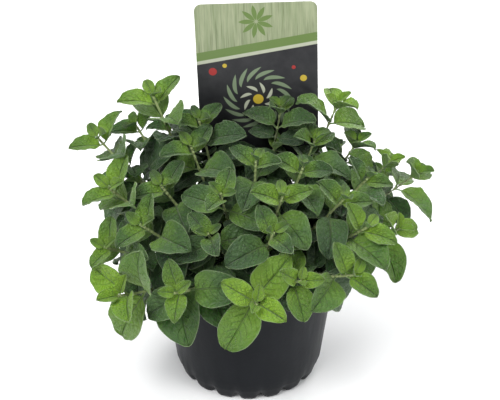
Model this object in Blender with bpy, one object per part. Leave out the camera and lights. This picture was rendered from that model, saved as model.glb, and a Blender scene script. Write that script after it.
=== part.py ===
# Potted oregano: a black nursery pot filled with peat, thirty-six leafy stems and a plant label.
# Metres, +Z up. The origin is the centre of the pot's base, where the pot stands.
# +X is to the right and +Y to the back, seen from the side that the label's front faces.
import math
import random
from typing import NamedTuple

import bmesh
import bpy
from mathutils import Matrix, Vector, noise
from mathutils.bvhtree import BVHTree

# Pot
POT_HEIGHT = 0.090
RIM_RADIUS = 0.0618
FOOT_RADIUS = 0.0510
WALL = 0.0011
LIP_HEIGHT = 0.0035
LIP_PROUD = 0.0007
LOBES = 18
LOBE_STEPS = 3
LOBE_DEPTH = 0.0022
FLOOR_LEVEL = 0.0052
BASE_DISC_RADIUS = 0.024
DRAIN_HOLES = 6
DRAIN_RADIUS = 0.0038
DRAIN_CIRCLE = 0.0335

# Peat
SOIL_LEVEL = 0.081
SOIL_ROUGHNESS = 0.0012
SOIL_SEGMENTS = 27
GAP = 0.0003
HOLE_DEPTH = 0.013
HOLE_SIDE = 0.0036

# Stems, square as in the whole mint family
STEM_BASE_HALF = 0.0012
STEM_TIP_HALF = 0.0007
STEM_STEPS = 4
ROOT_SHARE = 0.44

# Leaves
BLADE = 0.00065
PETIOLE_SHARE = 0.13
WIDTH_SHARE = 0.66
LEAF_CLEARANCE = 0.0009
SMALL_LEAF = 0.024
TINY_LEAF = 0.0145
MIDDLING_LEAF = 34  # in millimetres, on which the distances between the pairs are set

# Label
CARD_WIDTH = 0.0824
CARD_HEIGHT = 0.1212
CARD_THICKNESS = 0.0007
CARD_CORNER = 0.005
CARD_BOTTOM = 0.133
STAKE_TOP_WIDTH = 0.022
STAKE_END_WIDTH = 0.009
STAKE_END = 0.034
LABEL_X = 0.0100
LABEL_Y = 0.0465
LABEL_BACKWARD_DEG = 3.0
LABEL_SIDEWAYS_DEG = -1.8

BLACK_PLASTIC = ("black_plastic", (0.022, 0.024, 0.027), 0.55)
PEAT = ("peat", (0.035, 0.024, 0.018), 0.95)
LEAF_GREEN = ("leaf_green", (0.10, 0.22, 0.04), 0.60)
LABEL_CARD = ("label_card", (0.55, 0.62, 0.42), 0.40)


class Tip(NamedTuple):
    """Where a leafy stem ends, in millimetres, and what grows there."""

    name: str
    x: float
    y: float
    z: float
    leaf: float  # length of its largest leaves, in millimetres
    twist: float  # turn of the top pair of leaves round the stem, in degrees
    pairs: int
    root: tuple = None  # where it leaves the peat, where that isn't on the way to its tip


# The stems of the side that faces the viewer, from the crown outwards, then those at the back.
TIPS = [
    Tip("crown", 5, -11, 172, 36, 40, 4),
    Tip("crown_right", 36, -13, 168, 36, 10, 4),
    Tip("crown_left", -39, 13, 169, 42, 60, 4),
    Tip("crown_front_left", -18, -37, 162, 36, 0, 4),
    Tip("crown_front", 22, -38, 161, 38, 75, 4),
    Tip("label_right", 45, 20, 170, 36, 20, 4),
    Tip("label_left", -34, 32, 179, 38, 75, 4),
    Tip("label_front", 22, 34, 188, 32, 5, 4),
    Tip("tall_right", 62, 48, 184, 36, 75, 4),
    Tip("tall_left", -66, 50, 188, 44, 60, 4),
    Tip("left_high", -105, 42, 159, 44, 35, 4),
    Tip("left_back", -80, 62, 158, 40, 30, 4),
    Tip("left_middle", -93, -10, 150, 43, 30, 4),
    Tip("left_front", -70, -44, 143, 40, 15, 4),
    Tip("inner", -24, 42, 132, 38, 30, 4),
    Tip("left_inner", -58, -12, 153, 38, 20, 4),
    Tip("left_low", -94, -45, 126, 34, 30, 4),
    Tip("front_left_low", -84, -70, 105, 50, 75, 4),
    Tip("front_left", -47, -78, 113, 40, 30, 4),
    Tip("front_left_high", -26, -55, 143, 34, 45, 4),
    Tip("front_low", 5, -85, 109, 42, 60, 4),
    Tip("front_middle", 16, -60, 147, 38, 20, 4),
    Tip("front_right_low", 33, -78, 122, 30, 75, 4),
    Tip("right_front", 62, -32, 155, 38, 30, 4),
    Tip("right_front_low", 68, -68, 120, 40, 10, 4),
    Tip("right_middle_low", 77, -44, 141, 42, 15, 4),
    Tip("right_middle", 80, -5, 155, 36, 0, 4),
    Tip("right_back", 76, 42, 156, 38, 80, 4),
    Tip("right_high", 98, 34, 144, 38, 55, 4),
    Tip("right_far", 117, 26, 140, 38, 35, 4),
    Tip("right_low", 102, -14, 120, 38, 40, 4),
    Tip("back_left_low", -90, 68, 124, 33, 20, 4),
    Tip("back_left", -56, 84, 146, 36, 65, 4),
    Tip("back", -24, 84, 142, 34, 10, 4, (-20, 45)),
    Tip("back_high", 2, 74, 166, 33, 50, 4, (-7, 53)),
    Tip("back_right_high", 34, 84, 152, 34, 0, 4, (25, 46)),
    Tip("back_right", 62, 84, 126, 34, 35, 4),
    Tip("back_right_low", 98, 62, 118, 33, 70, 4),
]

# From the top pair down: how far below the tip a pair stands, its leaves' length as a share of
# the stem's largest, and the angle in degrees that its leaves make with the stem.
PAIRS = [
    (0.001, 0.32, 30),
    (0.006, 0.60, 50),
    (0.016, 0.92, 66),
    (0.034, 1.00, 78),
]
DOME_CENTRE = Vector((0.0, 0.0, 0.070))
LIGHT = Vector((0.0, -0.60, 0.60))  # the leaves turn to the window


# Where everything grows


class Leaf(NamedTuple):
    """A leaf's place: its foot on the stem, its direction, its upper side's normal and its form."""

    foot: Vector
    along: Vector
    normal: Vector
    length: float
    width: float
    droop: float
    fold: float


def half_width(share):
    """Half of the ovate blade's width at a share of its length, as a share of its widest half."""
    return math.sin(math.pi * min(max(share, 0.0), 1.0) ** 0.78) ** 0.80


def leaf_point(leaf, share, side, lift):
    """A point of the blade: share runs from its base to its tip, side from -1 to 1, lift is height."""
    blade_start = leaf.foot + leaf.along * (leaf.length * PETIOLE_SHARE)
    across = leaf.along.cross(leaf.normal)
    blade_length = leaf.length * (1 - PETIOLE_SHARE)
    if share <= 0:
        middle = blade_start + leaf.along * (share * blade_length)
        normal = leaf.normal
        half = 0.0
    else:
        turn = leaf.droop * share
        radius = blade_length / leaf.droop
        middle = blade_start + leaf.along * (radius * math.sin(turn))
        middle -= leaf.normal * (radius * (1 - math.cos(turn)))
        normal = leaf.normal * math.cos(turn) + leaf.along * math.sin(turn)
        half = leaf.width / 2 * half_width(share)
    raised = abs(side) * half * math.sin(leaf.fold)
    return middle + across * (side * half * math.cos(leaf.fold)) + normal * (raised + lift)


LARGE_RIM = [(0.16, -1), (0.45, -1), (0.78, -1), (1.0, 0), (0.78, 1), (0.45, 1), (0.16, 1)]
LARGE_MIDRIB = [0.42]
LARGE_FACES = [
    (0, 1, 8), (1, 2, 8), (2, 3, 8), (3, 4, 8), (4, 5, 8), (5, 6, 8), (6, 7, 8), (7, 0, 8),
]
TINY_RIM = [(0.42, -1), (1.0, 0), (0.42, 1)]
TINY_FACES = [(0, 1, 2), (0, 2, 3)]
SMALL_RIM = [(0.24, -1), (0.66, -1), (1.0, 0), (0.66, 1), (0.24, 1)]
SMALL_MIDRIB = [0.45]
SMALL_FACES = [(0, 1, 6), (1, 2, 6), (2, 3, 6), (3, 4, 6), (4, 5, 6), (5, 0, 6)]


def blade_solid(leaf, grown=0.0):
    """Points and faces of the leaf's folded blade, its rim and its faces moved out by grown."""
    if leaf.length < TINY_LEAF:
        rim, midrib, faces = TINY_RIM, [], TINY_FACES
    elif leaf.length < SMALL_LEAF:
        rim, midrib, faces = SMALL_RIM, SMALL_MIDRIB, SMALL_FACES
    else:
        rim, midrib, faces = LARGE_RIM, LARGE_MIDRIB, LARGE_FACES
    if grown:
        leaf = leaf._replace(length=leaf.length + grown, width=leaf.width + 2 * grown)
    root_share = -PETIOLE_SHARE / (1 - PETIOLE_SHARE)
    stations = [(root_share, 0), *rim, *((share, 0) for share in midrib)]
    lift = BLADE / 2 + grown
    points = [leaf_point(leaf, share, side, lift) for share, side in stations]
    points += [leaf_point(leaf, share, side, -lift) for share, side in stations]
    count = len(stations)
    edge = len(rim) + 1
    solid = [face[::-1] for face in faces]
    solid += [tuple(i + count for i in face) for face in faces]
    for i in range(edge):
        j = (i + 1) % edge
        solid += [(i, j, j + count), (i, j + count, i + count)]
    return points, solid


class Stem(NamedTuple):
    """A leafy stem: points along its middle, and at each its direction and the side of a flat."""

    name: str
    points: list
    tangents: list
    sides: list
    leaves: list


def growth_direction(tip):
    """Outwards and up to the light, as the stems at the rim of the bush lean out most."""
    outward = (tip - DOME_CENTRE).normalized()
    return (outward + Vector((0, 0, 0.55))).normalized()


def bare_stem(tip):
    """The stem's line from the bottom of its hole in the peat to its tip, without its leaves."""
    end = Vector((tip.x, tip.y, tip.z)) / 1000
    x, y = tip.root or (tip.x * ROOT_SHARE, tip.y * ROOT_SHARE)
    root = Vector((x / 1000, y / 1000, SOIL_LEVEL - HOLE_DEPTH + GAP))
    collar = root + Vector((0, 0, HOLE_DEPTH + 0.002))
    final = growth_direction(end)
    span = (end - collar).length
    first = collar + Vector((0, 0, 0.45 * span))
    second = end - final * (0.40 * span)
    points = [root]
    for step in range(STEM_STEPS):
        t = step / (STEM_STEPS - 1)
        s = 1 - t
        points.append(
            collar * s**3 + first * (3 * s * s * t) + second * (3 * s * t * t) + end * t**3
        )
    tangents = []
    for i in range(len(points)):
        before = points[max(i - 1, 0)]
        after = points[min(i + 1, len(points) - 1)]
        tangents.append((after - before).normalized())
    tangents[0] = tangents[1] = Vector((0, 0, 1))
    tangents[-1] = final
    side = final.cross(Vector((0, 0, 1))).normalized()
    side.rotate(Matrix.Rotation(math.radians(tip.twist), 3, final))
    sides = [side]
    for tangent in reversed(tangents[:-1]):
        side = (side - tangent * side.dot(tangent)).normalized()
        sides.append(side)
    return Stem(tip.name, points, tangents, sides[::-1], [])


def stem_half(stem, index):
    """Half the stem's thickness at a ring: it tapers from the peat up."""
    share = index / (len(stem.points) - 1)
    return STEM_BASE_HALF + (STEM_TIP_HALF - STEM_BASE_HALF) * share


def stem_solid(stem, grown=0.0):
    """Points and faces of the square stem."""
    points = []
    for i, middle in enumerate(stem.points):
        half = stem_half(stem, i) + grown
        side = stem.sides[i]
        other = stem.tangents[i].cross(side)
        for a, b in ((1, 1), (-1, 1), (-1, -1), (1, -1)):
            points.append(middle + side * (a * half) + other * (b * half))
    faces = [(3, 2, 1, 0)]
    for i in range(len(stem.points) - 1):
        for k in range(4):
            m = (k + 1) % 4
            faces.append((4 * i + k, 4 * i + m, 4 * i + 4 + m, 4 * i + 4 + k))
    last = 4 * (len(stem.points) - 1)
    faces.append((last, last + 1, last + 2, last + 3))
    return points, faces


def below_tip(stem, distance):
    """The stem's middle, direction and side at a distance back from its tip."""
    for i in range(len(stem.points) - 1, 0, -1):
        step = (stem.points[i] - stem.points[i - 1]).length
        if distance <= step:
            share = distance / step
            middle = stem.points[i].lerp(stem.points[i - 1], share)
            tangent = stem.tangents[i].lerp(stem.tangents[i - 1], share).normalized()
            side = stem.sides[i].lerp(stem.sides[i - 1], share)
            return middle, tangent, (side - tangent * side.dot(tangent)).normalized()
        distance -= step
    return stem.points[0], stem.tangents[0], stem.sides[0]


def leaf_on(stem, tip, pair, hand, change, chance):
    """One leaf of a pair, turned and shortened by a change, its form varied by two chances."""
    distance, share, angle = PAIRS[pair]
    pitch, yaw, size = change
    middle, tangent, side = below_tip(stem, distance * tip.leaf / MIDDLING_LEAF)
    outward = side if pair % 2 == 0 else tangent.cross(side)
    outward = outward * hand
    outward.rotate(Matrix.Rotation(math.radians(yaw), 3, tangent))
    opening = math.radians(angle + pitch)
    along = tangent * math.cos(opening) + outward * math.sin(opening)
    along = (along + Vector((0, 0, -0.05 * pair))).normalized()
    own = (tangent - along * tangent.dot(along)).normalized()
    light = ((stem.points[-1] - DOME_CENTRE).normalized() * 0.5 + LIGHT).normalized()
    lit = light - along * light.dot(along)
    normal = (own * 0.35 + lit).normalized()
    normal = (normal - along * normal.dot(along)).normalized()
    length = tip.leaf / 1000 * share * size * (0.94 + 0.12 * chance[0])
    width = length * WIDTH_SHARE * (0.92 + 0.16 * chance[1])
    droop = math.radians(12 + 9 * pair + 16 * chance[0])
    fold = math.radians(30 - 5 * pair + 8 * chance[1])
    foot = middle + along * 0.00025
    return Leaf(foot, along, normal, length, width, droop, fold)


def tree_of(points, faces):
    rounded = [tuple(round(value, 6) for value in point) for point in points]
    return BVHTree.FromPolygons(rounded, faces)


def ball_round(points):
    centre = sum(points, Vector()) / len(points)
    return centre, max((point - centre).length for point in points)


class Taken:
    """The room that is taken already: solids that a new leaf has to stay clear of."""

    def __init__(self):
        self.solids = []

    def add(self, owner, is_leaf, points, faces):
        self.solids.append((owner, is_leaf, *ball_round(points), tree_of(points, faces)))

    def meets(self, points, faces, counts):
        """Whether the shape meets any solid for which counts(owner, is_leaf) holds."""
        centre, radius = ball_round(points)
        tree = None
        for owner, is_leaf, other_centre, other_radius, other in self.solids:
            if not counts(owner, is_leaf):
                continue
            if (other_centre - centre).length > radius + other_radius:
                continue
            tree = tree or tree_of(points, faces)
            if tree.overlap(other):
                return True
        return False

    def has_room(self, name, leaf):
        """Whether a leaf of this stem clears all else, and crosses none of the stem's other leaves."""
        if self.meets(*blade_solid(leaf, LEAF_CLEARANCE), lambda owner, _: owner != name):
            return False
        return not self.meets(*blade_solid(leaf), lambda owner, is_leaf: owner == name and is_leaf)


def changes():
    """The turns and sizes that a leaf tries until it is clear of all others, least change first."""
    found = []
    for size in (1.0, 0.9, 0.8, 0.68, 0.56):
        for pitch in (0, 13, -13, 26, -26, 38):
            for yaw in (0, 15, -15, 30, -30, 44, -44):
                cost = abs(pitch) / 13 + abs(yaw) / 15 + (1 - size) * 11
                found.append((cost, (pitch, yaw, size)))
    return [change for _, change in sorted(found, key=lambda item: item[0])]


def turned_solid(profile, segments):
    """Points and faces of a closed turned shape, from radius and height pairs."""
    points = []
    for radius, height in profile:
        for k in range(segments):
            angle = 2 * math.pi * k / segments
            points.append(Vector((radius * math.cos(angle), radius * math.sin(angle), height)))
    faces = []
    for i in range(len(profile) - 1):
        for k in range(segments):
            m = (k + 1) % segments
            faces.append(
                (i * segments + k, i * segments + m, (i + 1) * segments + m, (i + 1) * segments + k)
            )
    return points, faces


def label_place():
    """The label's place: its own origin is on its middle line at the level of the peat."""
    lean = Matrix.Rotation(-math.radians(LABEL_BACKWARD_DEG), 4, "X")
    tip_over = Matrix.Rotation(math.radians(LABEL_SIDEWAYS_DEG), 4, "Y")
    return Matrix.Translation((LABEL_X, LABEL_Y, SOIL_LEVEL)) @ lean @ tip_over


def label_outline(grown=0.0):
    """The label's outline in its own plane, x across and z up, counted from the level of the peat."""
    half = CARD_WIDTH / 2 + grown
    top = CARD_BOTTOM + CARD_HEIGHT - SOIL_LEVEL + grown
    bottom = CARD_BOTTOM - SOIL_LEVEL - grown
    corner = CARD_CORNER
    stake_half = STAKE_TOP_WIDTH / 2 + grown
    end_half = STAKE_END_WIDTH / 2 + grown
    end = STAKE_END - SOIL_LEVEL
    right = []
    for centre_z, start in ((bottom + corner, -90), (top - corner, 0)):
        for step in range(4):
            angle = math.radians(start + 30 * step)
            right.append(
                (half - corner + corner * math.cos(angle), centre_z + corner * math.sin(angle))
            )
    stake = [(end_half, end + 0.009), (stake_half, bottom)]
    right = stake + right
    left = [(-x, z) for x, z in reversed(right)]
    return [(0.0, end - grown), *right, *left]


def label_solid(grown=0.0):
    """Points and faces of the label, lying in its place."""
    place = label_place()
    outline = label_outline(grown)
    half = CARD_THICKNESS / 2 + grown
    points = [place @ Vector((x, -half, z)) for x, z in outline]
    points += [place @ Vector((x, half, z)) for x, z in outline]
    count = len(outline)
    faces = [tuple(range(count)), tuple(range(2 * count - 1, count - 1, -1))]
    faces += [(i, i + count, (i + 1) % count + count, (i + 1) % count) for i in range(count)]
    return points, faces


def pot_room():
    """Points and faces of the filled pot, a little larger than it is."""
    spare = 0.0008
    profile = [
        (FOOT_RADIUS, 0.0),
        (RIM_RADIUS + LIP_PROUD + spare, POT_HEIGHT - LIP_HEIGHT),
        (RIM_RADIUS + LIP_PROUD + spare, POT_HEIGHT + spare),
        (RIM_RADIUS - WALL - spare, POT_HEIGHT + spare),
        (RIM_RADIUS - WALL - spare, SOIL_LEVEL + 0.003),
        (0.0005, SOIL_LEVEL + 0.003),
    ]
    return turned_solid(profile, 36)


def grown_stems():
    """Every leafy stem with its leaves, none of which meets another, the pot or the label."""
    taken = Taken()
    taken.add("pot", False, *pot_room())
    taken.add("label", False, *label_solid(0.0008))
    stems = [bare_stem(tip) for tip in TIPS]
    for stem in stems:
        taken.add(stem.name, False, *stem_solid(stem, 0.0004))
    tries = changes()
    chances = random.Random(7)
    for pair in range(len(PAIRS)):
        for tip, stem in zip(TIPS, stems):
            for hand in (1, -1):
                chance = (chances.random(), chances.random())
                if pair >= tip.pairs:
                    continue
                for change in tries:
                    leaf = leaf_on(stem, tip, pair, hand, change, chance)
                    if taken.has_room(stem.name, leaf):
                        stem.leaves.append(leaf)
                        taken.add(stem.name, True, *blade_solid(leaf))
                        break
    return stems


# Building the solids


def material_of(finish):
    """The material with this finish, made once."""
    name, colour, roughness = finish
    found = bpy.data.materials.get(name)
    if found:
        return found
    made = bpy.data.materials.new(name)
    made.use_nodes = True
    shader = made.node_tree.nodes["Principled BSDF"]
    shader.inputs["Base Color"].default_value = (*colour, 1)
    shader.inputs["Roughness"].default_value = roughness
    shader.inputs["Metallic"].default_value = 0
    return made


def object_of(name, points, faces, finish=None):
    """A mesh object with these points and faces, linked to the scene."""
    mesh = bpy.data.meshes.new(name)
    mesh.from_pydata([tuple(point) for point in points], [], faces)
    made = bpy.data.objects.new(name, mesh)
    bpy.context.scene.collection.objects.link(made)
    if finish:
        mesh.materials.append(material_of(finish))
    return made


def face_outwards(made):
    shape = bmesh.new()
    shape.from_mesh(made.data)
    bmesh.ops.recalc_face_normals(shape, faces=shape.faces)
    shape.to_mesh(made.data)
    shape.free()


def combine(made, tools, operation, solver="EXACT"):
    """Joins the tools to the object or cuts them from it, in one step, and removes them."""
    group = bpy.data.collections.new(made.name + "_tools")
    bpy.context.scene.collection.children.link(group)
    for tool in tools:
        for home in list(tool.users_collection):
            home.objects.unlink(tool)
        group.objects.link(tool)
    step = made.modifiers.new(operation.title(), "BOOLEAN")
    step.operation = operation
    step.operand_type = "COLLECTION"
    step.collection = group
    step.solver = solver
    bpy.context.view_layer.update()
    graph = bpy.context.evaluated_depsgraph_get()
    joined = bpy.data.meshes.new_from_object(made.evaluated_get(graph))
    made.modifiers.clear()
    made.data = joined
    for tool in tools:
        bpy.data.objects.remove(tool)
    bpy.data.collections.remove(group)


def outer_radius(height):
    return FOOT_RADIUS + (RIM_RADIUS - FOOT_RADIUS) * height / POT_HEIGHT


def pot_rings():
    """The pot's rings from the base round the rim to the floor inside: radius, height, how far a
    notch between two lobes draws the ring in, and how far it lifts it."""
    deep = LOBE_DEPTH
    lip_foot = POT_HEIGHT - LIP_HEIGHT
    lip = RIM_RADIUS + LIP_PROUD
    return [
        (BASE_DISC_RADIUS, 0.0, 0.0, 0.0),
        (BASE_DISC_RADIUS + 0.006, 0.0, 0.0, deep),
        (FOOT_RADIUS - 0.0040, 0.0, 0.8 * deep, deep),
        (FOOT_RADIUS - 0.0010, 0.0030, deep, 0.5 * deep),
        (outer_radius(0.010), 0.010, 0.3 * deep, 0.0),
        (outer_radius(lip_foot), lip_foot, 0.0, 0.0),
        (lip, lip_foot, 0.0, 0.0),
        (lip, POT_HEIGHT, 0.0, 0.0),
        (RIM_RADIUS - WALL, POT_HEIGHT, 0.0, 0.0),
        (FOOT_RADIUS - 0.0010, 0.0120, 0.0, 0.0),
        (FOOT_RADIUS - 0.0065, FLOOR_LEVEL, 0.0, 0.0),
    ]


def make_pot():
    rings = pot_rings()
    segments = LOBES * LOBE_STEPS
    points = []
    for radius, height, drawn_in, lifted in rings:
        for k in range(segments):
            notch = 1.0 if k % LOBE_STEPS == 0 else 0.0
            angle = 2 * math.pi * k / segments
            reach = radius - drawn_in * notch
            points.append((reach * math.cos(angle), reach * math.sin(angle), height + lifted * notch))
    faces = [tuple(range(segments))]
    for i in range(len(rings) - 1):
        for k in range(segments):
            m = (k + 1) % segments
            faces.append(
                (i * segments + k, i * segments + m, (i + 1) * segments + m, (i + 1) * segments + k)
            )
    faces.append(tuple(range((len(rings) - 1) * segments, len(rings) * segments)))
    pot = object_of("pot", points, faces, BLACK_PLASTIC)
    face_outwards(pot)
    drills = []
    for k in range(DRAIN_HOLES):
        angle = 2 * math.pi * (k + 0.5) / DRAIN_HOLES
        bpy.ops.mesh.primitive_cylinder_add(
            vertices=8,
            radius=DRAIN_RADIUS,
            depth=4 * FLOOR_LEVEL,
            location=(DRAIN_CIRCLE * math.cos(angle), DRAIN_CIRCLE * math.sin(angle), 0),
            rotation=(0, 0, angle),
        )
        drills.append(bpy.context.object)
    combine(pot, drills, "DIFFERENCE")
    pot.data.shade_smooth()
    pot.data.set_sharp_from_angle(angle=math.radians(35))
    return pot


def soil_height(x, y):
    """The level of the rough top of the peat."""
    rough = noise.noise(Vector((x * 60, y * 60, 0.5))) + 0.5 * noise.noise(Vector((x * 170, y * 170, 2.5)))
    return SOIL_LEVEL + SOIL_ROUGHNESS * rough


def make_soil(stems):
    flat_share = math.cos(math.pi / (LOBES * LOBE_STEPS))
    side = [
        (FOOT_RADIUS - 0.0065, FLOOR_LEVEL),
        (FOOT_RADIUS - 0.0010, 0.0120),
        (outer_radius(SOIL_LEVEL) - WALL, SOIL_LEVEL - 0.001),
    ]
    profile = [(radius * flat_share - GAP * 1.4, height + GAP) for radius, height in side]
    for share in (0.8, 0.55, 0.3, 0.1):
        profile.append((profile[2][0] * share, SOIL_LEVEL))
    points, faces = turned_solid(profile, SOIL_SEGMENTS)
    for point in points[len(side) * SOIL_SEGMENTS :]:
        point.z = soil_height(point.x, point.y)
    faces.append(tuple(range(SOIL_SEGMENTS)))
    faces.append(tuple(range(len(points) - SOIL_SEGMENTS, len(points))))
    soil = object_of("soil", points, faces, PEAT)
    face_outwards(soil)
    cutters = []
    for stem in stems:
        root = stem.points[0]
        half = HOLE_SIDE / 2
        across = stem.sides[0]
        other = Vector((0, 0, 1)).cross(across)
        corners = [across * half + other * half, other * half - across * half]
        corners += [-corner for corner in corners]
        low = Vector((root.x, root.y, SOIL_LEVEL - HOLE_DEPTH))
        high = Vector((root.x, root.y, SOIL_LEVEL + 0.01))
        prism = [low + corner for corner in corners] + [high + corner for corner in corners]
        walls = [(k, (k + 1) % 4, 4 + (k + 1) % 4, 4 + k) for k in range(4)]
        cutter = object_of("hole", prism, [(3, 2, 1, 0), (4, 5, 6, 7), *walls])
        face_outwards(cutter)
        cutters.append(cutter)
    slot = object_of("slot", *label_solid(0.0005))
    face_outwards(slot)
    combine(soil, [*cutters, slot], "DIFFERENCE")
    return soil


def make_label():
    label = object_of("label", *label_solid(), LABEL_CARD)
    face_outwards(label)
    return label


def make_leafy_stem(stem):
    made = object_of(stem.name, *stem_solid(stem), LEAF_GREEN)
    face_outwards(made)
    blades = []
    for leaf in stem.leaves:
        blade = object_of("blade", *blade_solid(leaf), LEAF_GREEN)
        face_outwards(blade)
        blades.append(blade)
    combine(made, blades, "UNION")
    return made


def main():
    for old in list(bpy.data.objects):
        bpy.data.objects.remove(old)
    stems = grown_stems()
    make_pot()
    make_soil(stems)
    make_label()
    for stem in stems:
        make_leafy_stem(stem)


if __name__ == "__main__":
    main()
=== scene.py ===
"""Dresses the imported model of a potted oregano: its leaves, stems, peat, pot and plant label."""

import itertools
import math
import random
from typing import NamedTuple

import bmesh
import bpy
from bpy.props import FloatProperty, FloatVectorProperty, IntProperty, PointerProperty
from bpy.types import Operator, Panel, PropertyGroup
from mathutils import Matrix, Vector, noise
from mathutils.bvhtree import BVHTree


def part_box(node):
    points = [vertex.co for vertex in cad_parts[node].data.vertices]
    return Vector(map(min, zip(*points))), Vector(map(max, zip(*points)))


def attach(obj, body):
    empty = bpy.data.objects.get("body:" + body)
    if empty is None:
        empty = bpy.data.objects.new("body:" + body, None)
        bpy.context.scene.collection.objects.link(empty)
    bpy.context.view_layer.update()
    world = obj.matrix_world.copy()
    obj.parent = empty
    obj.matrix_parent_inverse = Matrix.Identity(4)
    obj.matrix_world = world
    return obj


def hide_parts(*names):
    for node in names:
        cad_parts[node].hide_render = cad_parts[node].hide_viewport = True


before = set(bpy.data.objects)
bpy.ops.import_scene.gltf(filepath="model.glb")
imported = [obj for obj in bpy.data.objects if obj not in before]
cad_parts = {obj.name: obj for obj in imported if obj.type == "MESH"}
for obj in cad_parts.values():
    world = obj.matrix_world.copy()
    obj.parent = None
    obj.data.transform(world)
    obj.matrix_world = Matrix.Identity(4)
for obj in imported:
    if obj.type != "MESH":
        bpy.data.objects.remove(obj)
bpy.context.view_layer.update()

bl_info = {
    "name": "Potted Oregano",
    "version": (1, 0, 0),
    "blender": (4, 5, 0),
    "location": "View3D > Sidebar > Oregano",
    "description": "Adds the leaves, stems, peat, pot and label of a potted oregano",
    "category": "Object",
}

# Pot, as the solids have it
POT_HEIGHT = 0.090
RIM_RADIUS = 0.0618
FOOT_RADIUS = 0.0510
WALL = 0.0011
LIP_HEIGHT = 0.0035
LIP_PROUD = 0.0007
LOBES = 18
LOBE_DEPTH = 0.0022
FLOOR_LEVEL = 0.0052
LOBE_TOP = 0.016
BASE_DISC_RADIUS = 0.024
DRAIN_HOLES = 6
DRAIN_RADIUS = 0.0038
DRAIN_CIRCLE = 0.0335
FLOOR_BEND = (FOOT_RADIUS - 0.0010, 0.0120)  # radius and height where the wall's inside bends
FLOOR_EDGE = (FOOT_RADIUS - 0.0065, FLOOR_LEVEL)

# Peat
SOIL_LEVEL = 0.081
GAP = 0.0003
HOLE_DEPTH = 0.013

# Room that new leaves leave round what is there already
LEAF_CLEARANCE = 0.0009
STEM_CLEARANCE = 0.0004
ROOM_SPARE = 0.0008
PEAT_SPARE = 0.003

# Stems
STEM_BASE_HALF = 0.0012
STEM_TIP_HALF = 0.0007
STEM_STEPS = 4
ROOT_SHARE = 0.44
COLLAR_HEIGHT = 0.002
RISE_SHARE = 0.45  # how far a stem aims straight up at first, as a share of its span
ARRIVAL_SHARE = 0.40  # how far before its tip it aims at it
UPWARD_PULL = 0.55

# Leaves
BLADE = 0.00065
PETIOLE_SHARE = 0.13
FOOT_SHARE = -PETIOLE_SHARE / (1 - PETIOLE_SHARE)  # where a leaf's stalk starts
WIDTH_SHARE = 0.66
LEAF_FOOT = 0.00025  # from the middle of the stem to a leaf's foot
SMALL_LEAF = 0.024
TINY_LEAF = 0.0145
MIDDLING_LEAF = 34
PAIR_SAG = 0.05  # how much lower each pair hangs than the one above it
OWN_TURN = 0.35  # how much a leaf's upper side faces up its stem, against the light

# Label
CARD_WIDTH = 0.0824
CARD_HEIGHT = 0.1212
CARD_THICKNESS = 0.0007
CARD_CORNER = 0.005
CARD_BOTTOM = 0.133
STAKE_TOP_WIDTH = 0.022
STAKE_END_WIDTH = 0.009
STAKE_END = 0.034
STAKE_POINT = 0.009
LABEL_X = 0.0100
LABEL_Y = 0.0465
LABEL_BACKWARD_DEG = 3.0
LABEL_SIDEWAYS_DEG = -1.8


class Tip(NamedTuple):
    """Where a leafy stem ends, in millimetres, and what grows there."""

    name: str
    x: float
    y: float
    z: float
    leaf: float  # length of its largest leaves, in millimetres
    twist: float  # turn of the top pair of leaves round the stem, in degrees
    fresh: float = 0.25  # how fresh and yellow its leaves are, from 0 to 1
    root: tuple = None  # where it leaves the peat, where that isn't on the way to its tip


# The stems of the side that faces the viewer, from the crown outwards, then those at the back.
TIPS = [
    Tip("crown", 5, -11, 172, 36, 40),
    Tip("crown_right", 36, -13, 168, 36, 10),
    Tip("crown_left", -39, 13, 169, 42, 60),
    Tip("crown_front_left", -18, -37, 162, 36, 0, 0.35),
    Tip("crown_front", 22, -38, 161, 38, 75, 0.50),
    Tip("label_right", 45, 20, 170, 36, 20),
    Tip("label_left", -34, 32, 179, 38, 75),
    Tip("label_front", 22, 34, 188, 32, 5),
    Tip("tall_right", 62, 48, 184, 36, 75, 0.85),
    Tip("tall_left", -66, 50, 188, 44, 60, 0.60),
    Tip("left_high", -105, 42, 159, 44, 35, 0.45),
    Tip("left_back", -80, 62, 158, 40, 30),
    Tip("left_middle", -93, -10, 150, 43, 30, 0.60),
    Tip("left_front", -70, -44, 143, 40, 15),
    Tip("inner", -24, 42, 132, 38, 30),
    Tip("left_inner", -58, -12, 153, 38, 20),
    Tip("left_low", -94, -45, 126, 34, 30, 0.55),
    Tip("front_left_low", -84, -70, 105, 50, 75, 0.80),
    Tip("front_left", -47, -78, 113, 40, 30, 0.50),
    Tip("front_left_high", -26, -55, 143, 34, 45),
    Tip("front_low", 5, -85, 109, 42, 60, 0.95),
    Tip("front_middle", 16, -60, 147, 38, 20),
    Tip("front_right_low", 33, -78, 122, 30, 75, 0.75),
    Tip("right_front", 62, -32, 155, 38, 30),
    Tip("right_front_low", 68, -68, 120, 40, 10, 0.45),
    Tip("right_middle_low", 77, -44, 141, 42, 15, 0.60),
    Tip("right_middle", 80, -5, 155, 36, 0),
    Tip("right_back", 76, 42, 156, 38, 80),
    Tip("right_high", 98, 34, 144, 38, 55, 0.80),
    Tip("right_far", 117, 26, 140, 38, 35, 0.45),
    Tip("right_low", 102, -14, 120, 38, 40, 0.85),
    Tip("back_left_low", -90, 68, 124, 33, 20),
    Tip("back_left", -56, 84, 146, 36, 65),
    Tip("back", -24, 84, 142, 34, 10, root=(-20, 45)),
    Tip("back_high", 2, 74, 166, 33, 50, root=(-7, 53)),
    Tip("back_right_high", 34, 84, 152, 34, 0, root=(25, 46)),
    Tip("back_right", 62, 84, 126, 34, 35),
    Tip("back_right_low", 98, 62, 118, 33, 70),
]

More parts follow.
